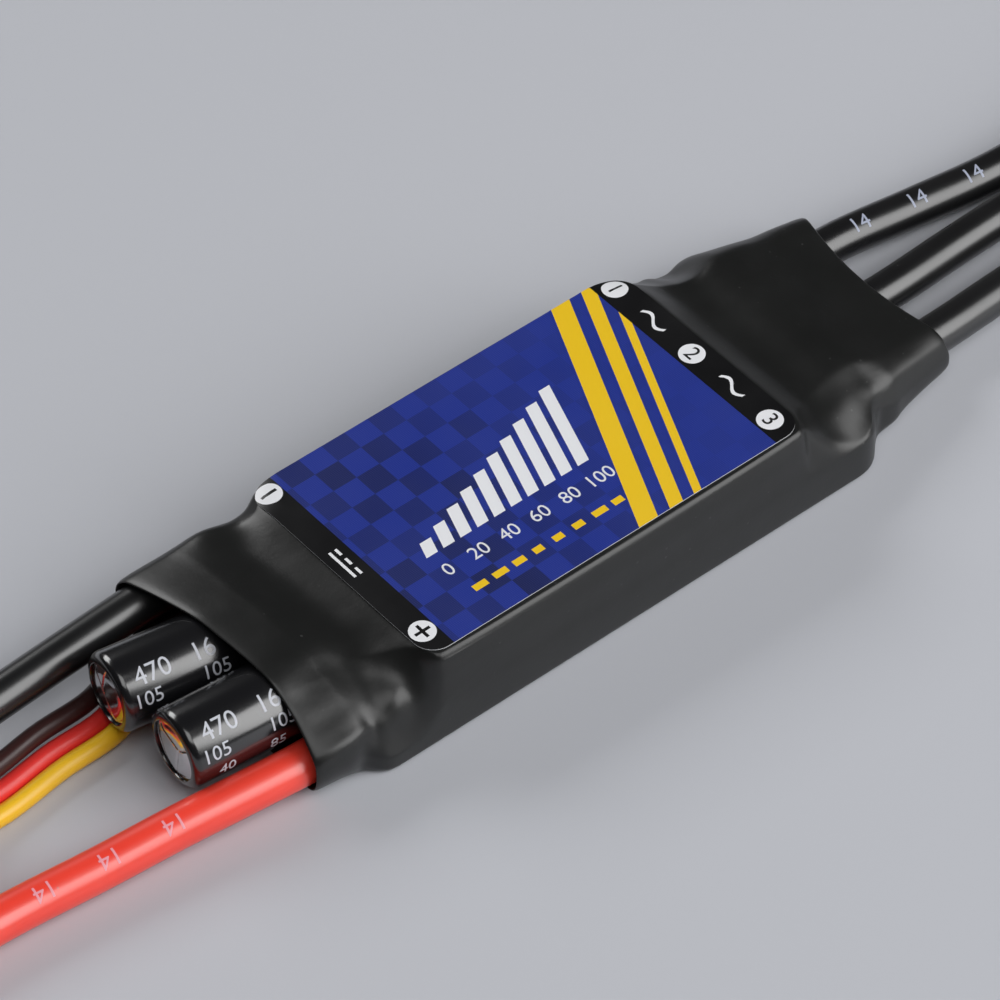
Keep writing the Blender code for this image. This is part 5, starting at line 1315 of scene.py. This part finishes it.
class CONTROLLER_OT_label(Operator):
    """Add the printed label"""

    bl_idname = "controller.label"
    bl_label = "Label"

    def execute(self, context):
        chosen = settings("label")
        sheet = self.cut_sheet(chosen, *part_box("label"))
        self.lay(sheet)
        thick = sheet.modifiers.new("paper", "SOLIDIFY")
        thick.thickness = chosen.thickness
        thick.offset = 1.0
        thick.material_offset_rim = 1
        dress(sheet, [label_look(), paper_look()], "label_print", "label")
        apply_modifiers(sheet)
        shade(sheet, 40.0)
        self.add_numbers(chosen, sheet)
        return {"FINISHED"}

    def cut_sheet(self, chosen, low, high):
        """A rectangle with rounded corners, cut into a grid so that it can bend."""
        bpy.ops.object.select_all(action="DESELECT")
        bpy.ops.mesh.primitive_plane_add(size=1.0, location=(0.0, 0.0, high.z))
        sheet = bpy.context.active_object
        sheet.name = "printed_label"
        bpy.ops.object.transform_apply(location=True)
        size = high - low
        middle = (low + high) / 2
        with whole_mesh():
            bpy.ops.transform.resize(value=(size.x, size.y, 1.0), center_override=(0.0, 0.0, high.z))
            bpy.ops.transform.translate(value=(middle.x, middle.y, 0.0))
            bpy.ops.mesh.bevel(offset=chosen.corner, segments=LABEL_CORNER_STEPS, affect="VERTICES",
                               offset_type="OFFSET")
            for axis, steps in ((0, LABEL_COLUMNS), (1, LABEL_ROWS)):
                square = [0.0, 0.0, 0.0]
                square[axis] = 1.0
                for step in range(1, steps):
                    at = [0.0, 0.0, high.z]
                    at[axis] = low[axis] + size[axis] * step / steps
                    bpy.ops.mesh.select_all(action="SELECT")
                    bpy.ops.mesh.bisect(plane_co=at, plane_no=square)
        return sheet

    def lay(self, sheet):
        """Let the sheet lie on the sleeve and bridge its hollows."""
        wrap = sheet.modifiers.new("lie", "SHRINKWRAP")
        wrap.target = bpy.data.objects["shrunk_sleeve"]
        wrap.wrap_method = "PROJECT"
        wrap.use_project_z = True
        wrap.use_negative_direction = True
        wrap.use_positive_direction = True
        wrap.offset = LABEL_GAP
        apply_modifiers(sheet)
        flat = max(point.co.z for point in sheet.data.vertices)
        for point in sheet.data.vertices:
            point.co.z = min(flat, point.co.z + LABEL_BRIDGE)

    def add_numbers(self, chosen, sheet):
        """Numbers of the motor terminals and of the gauge's scale."""
        black = []
        for number, (x, y) in enumerate(MOTOR_DISCS, 1):
            digit = printed_number(f"terminal_{number}", str(number), TERMINAL_SIZE, FIGURE_STRIPS)
            digit.data.transform(Matrix.Translation((x, y, 0.0)) @ Matrix.Rotation(math.radians(-90), 4, "Z"))
            black.append(digit)
        white = []
        for step, body in enumerate(SCALE_NUMBERS):
            figure = printed_number(f"scale_{body}", body, SCALE_SIZE)
            x = GAUGE_START + GAUGE_PITCH * step * (GAUGE_BARS - 1) / (len(SCALE_NUMBERS) - 1)
            figure.data.transform(Matrix.Translation((x, GAUGE_FOOT - SCALE_DROP, 0.0)))
            white.append(figure)
        for name, items, tone in (("terminal", black, chosen.strip), ("scale", white, chosen.white)):
            figures = joined(f"{name}_numbers", items)
            for point in figures.data.vertices:
                place = sheet.ray_cast((point.co.x, point.co.y, ABOVE_LABEL), (0.0, 0.0, -1.0))[1]
                point.co.z += place.z + INK_HALF
            dress(figures, [ink_look(f"{name} numbers", tone)], "label_print")


class CONTROLLER_OT_capacitors(Operator):
    """Add the two capacitors"""

    bl_idname = "controller.capacitors"
    bl_label = "Capacitors"

    def execute(self, context):
        chosen = settings("capacitors")
        film = capacitor_film_look()
        metal = metal_look("vent metal", chosen.metal, 0.14, (1.0, 1.0, 1.0))
        ink = ink_look("capacitor ink", chosen.ink)
        for index, (tip, yaw, pitch) in enumerate(zip(CAPACITOR_TIPS, CAPACITOR_YAWS, CAPACITOR_PITCHES)):
            level = math.cos(pitch)
            ahead = Vector((-math.cos(yaw) * level, math.sin(yaw) * level, math.sin(pitch)))
            turn = along_axis(tip - ahead * chosen.length, ahead)
            number = index + 1
            dressed_turn(f"capacitor_film_{number}", self.film_profile(chosen), turn, film, "capacitor_film",
                         f"capacitor_sleeve_{number}")
            can = turned_piece(f"capacitor_body_{number}", self.can_profile(chosen), VENT_STEPS, turn)
            self.press_vent(can, tip, ahead, VENT_MEETINGS[index], VENT_ANGLES[index], chosen)
            shade(can, 12.0)
            dress(can, [metal], "aluminium", f"capacitor_can_{number}")
            self.print_figures(number, tip, ahead, chosen, ink)
        return {"FINISHED"}

    def film_profile(self, chosen):
        """The film round a can: over both rounded ends, under the lip of the vent end and back inside."""
        radius = chosen.diameter / 2
        end = chosen.length
        wall, edge = chosen.film_wall, chosen.edge
        mouth = radius - chosen.lip
        flat = radius - edge
        arc = [math.radians(15 * step) for step in range(7)]
        start_edge = [(edge - edge * math.cos(turn), flat + edge * math.sin(turn)) for turn in arc]
        vent_edge = [(end - edge + edge * math.sin(turn), flat + edge * math.cos(turn)) for turn in arc]
        inside = [
            (end - 0.00003, mouth + 0.00004), (end - wall * 0.6, mouth), (end - wall, mouth + 0.00006),
            (end - wall - 0.0001, flat), (end - edge, radius - wall), (edge, radius - wall), (wall, flat),
            (wall, mouth),
        ]
        return tuple([inside[-1], (0.0, mouth)] + start_edge + vent_edge + inside)

    def can_profile(self, chosen):
        """The can inside its film, with rings across the vent end."""
        radius = chosen.diameter / 2 - (chosen.film_wall + CAN_CLEARANCE)
        end = chosen.length - chosen.seat
        edge = chosen.edge
        flat = radius - edge
        rings = [(end, flat * (1 - step / VENT_RINGS) + VENT_MIDDLE) for step in range(1, VENT_RINGS + 1)]
        bend = [(end - edge + edge * math.sin(turn), flat + edge * math.cos(turn))
                for turn in (math.radians(30 * step) for step in range(4))]
        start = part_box("capacitor_sleeve_1")[1].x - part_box("capacitor_can_1")[1].x
        return tuple([(start, 0.0005), (start, radius - 0.0002), (start + 0.0002, radius)] + bend + rings)

    def press_vent(self, can, tip, ahead, meeting, angles, chosen):
        """Score lines in the vent end, with the metal folded gently between them."""
        aside, above = square_to(ahead)
        turns = [math.radians(degrees) for degrees in angles]
        lines = [Vector((math.cos(turn), math.sin(turn))) for turn in turns]
        mouth = chosen.diameter / 2 - chosen.lip
        for point in can.data.vertices:
            rest = point.co - tip
            if rest.dot(ahead) < -chosen.seat - 1e-6:
                continue
            place = Vector((rest.dot(aside) - meeting[0], rest.dot(above) - meeting[1]))
            near = min((place - line * max(0.0, place.dot(line))).length for line in lines)
            lower = VENT_SLOPE * near + chosen.score * math.exp(-(near / SCORE_HALF) ** 2)
            inside = max(0.0, 1 - (rest - ahead * rest.dot(ahead)).length / mouth)
            domed = chosen.dome * rise(inside, 0.0, VENT_DOME_RIM)
            point.co += ahead * (domed - lower * rise(inside, 0.0, VENT_FOLD_RIM))

    def print_figures(self, number, tip, ahead, chosen, ink):
        """Plain figures round the can, read from its vent end."""
        aside, above = square_to(ahead)
        radius = chosen.diameter / 2 + INK_HALF
        rows = []
        for body, size, along, degrees in CAPACITOR_FIGURES:
            figures = printed_number("figures", body, size, FIGURE_STRIPS)
            for point in figures.data.vertices:
                turn = math.radians(degrees) - point.co.y / radius
                out = radius + point.co.z
                point.co = (tip - ahead * (along + point.co.x) + aside * out * math.cos(turn)
                            + above * out * math.sin(turn))
            rows.append(figures)
        dress(joined(f"capacitor_figures_{number}", rows), [ink], "capacitor_film")


class CONTROLLER_OT_inner_parts(Operator):
    """Give the pieces under the film their finishes"""

    bl_idname = "controller.inner_parts"
    bl_label = "Inner parts"

    def execute(self, context):
        looks = inner_looks()
        for entry in frame["record"]["subparts"]:
            node = frame["nodes"][entry["node"]]
            if node.hide_render or entry["material_slot"] not in looks:
                continue
            node.data.materials.clear()
            node.data.materials.append(looks[entry["material_slot"]])
        return {"FINISHED"}


OPERATORS = (
    CONTROLLER_OT_stage, CONTROLLER_OT_power_leads, CONTROLLER_OT_servo_lead, CONTROLLER_OT_bullet_sockets,
    CONTROLLER_OT_battery_plug, CONTROLLER_OT_servo_plug, CONTROLLER_OT_declare_cords, CONTROLLER_OT_sleeve,
    CONTROLLER_OT_label, CONTROLLER_OT_capacitors, CONTROLLER_OT_inner_parts,
)


class CONTROLLER_PT_looks(Panel):
    """Lists the pieces of the speed controller"""

    bl_idname = "CONTROLLER_PT_looks"
    bl_label = "Speed Controller"
    bl_space_type = "VIEW_3D"
    bl_region_type = "UI"
    bl_category = "Speed Controller"

    def draw(self, context):
        for operator in OPERATORS:
            self.layout.operator(operator.bl_idname)


CLASSES = (*SETTINGS.values(), *OPERATORS, CONTROLLER_PT_looks)


def register():
    for item in CLASSES:
        bpy.utils.register_class(item)
    for name, kind in SETTINGS.items():
        setattr(bpy.types.Scene, name, PointerProperty(type=kind))


def unregister():
    for name in SETTINGS:
        delattr(bpy.types.Scene, name)
    for item in reversed(CLASSES):
        bpy.utils.unregister_class(item)


def main():
    register()
    for operator in OPERATORS:
        group, name = operator.bl_idname.split(".")
        getattr(getattr(bpy.ops, group), name)()


if __name__ == "__main__":
    main()
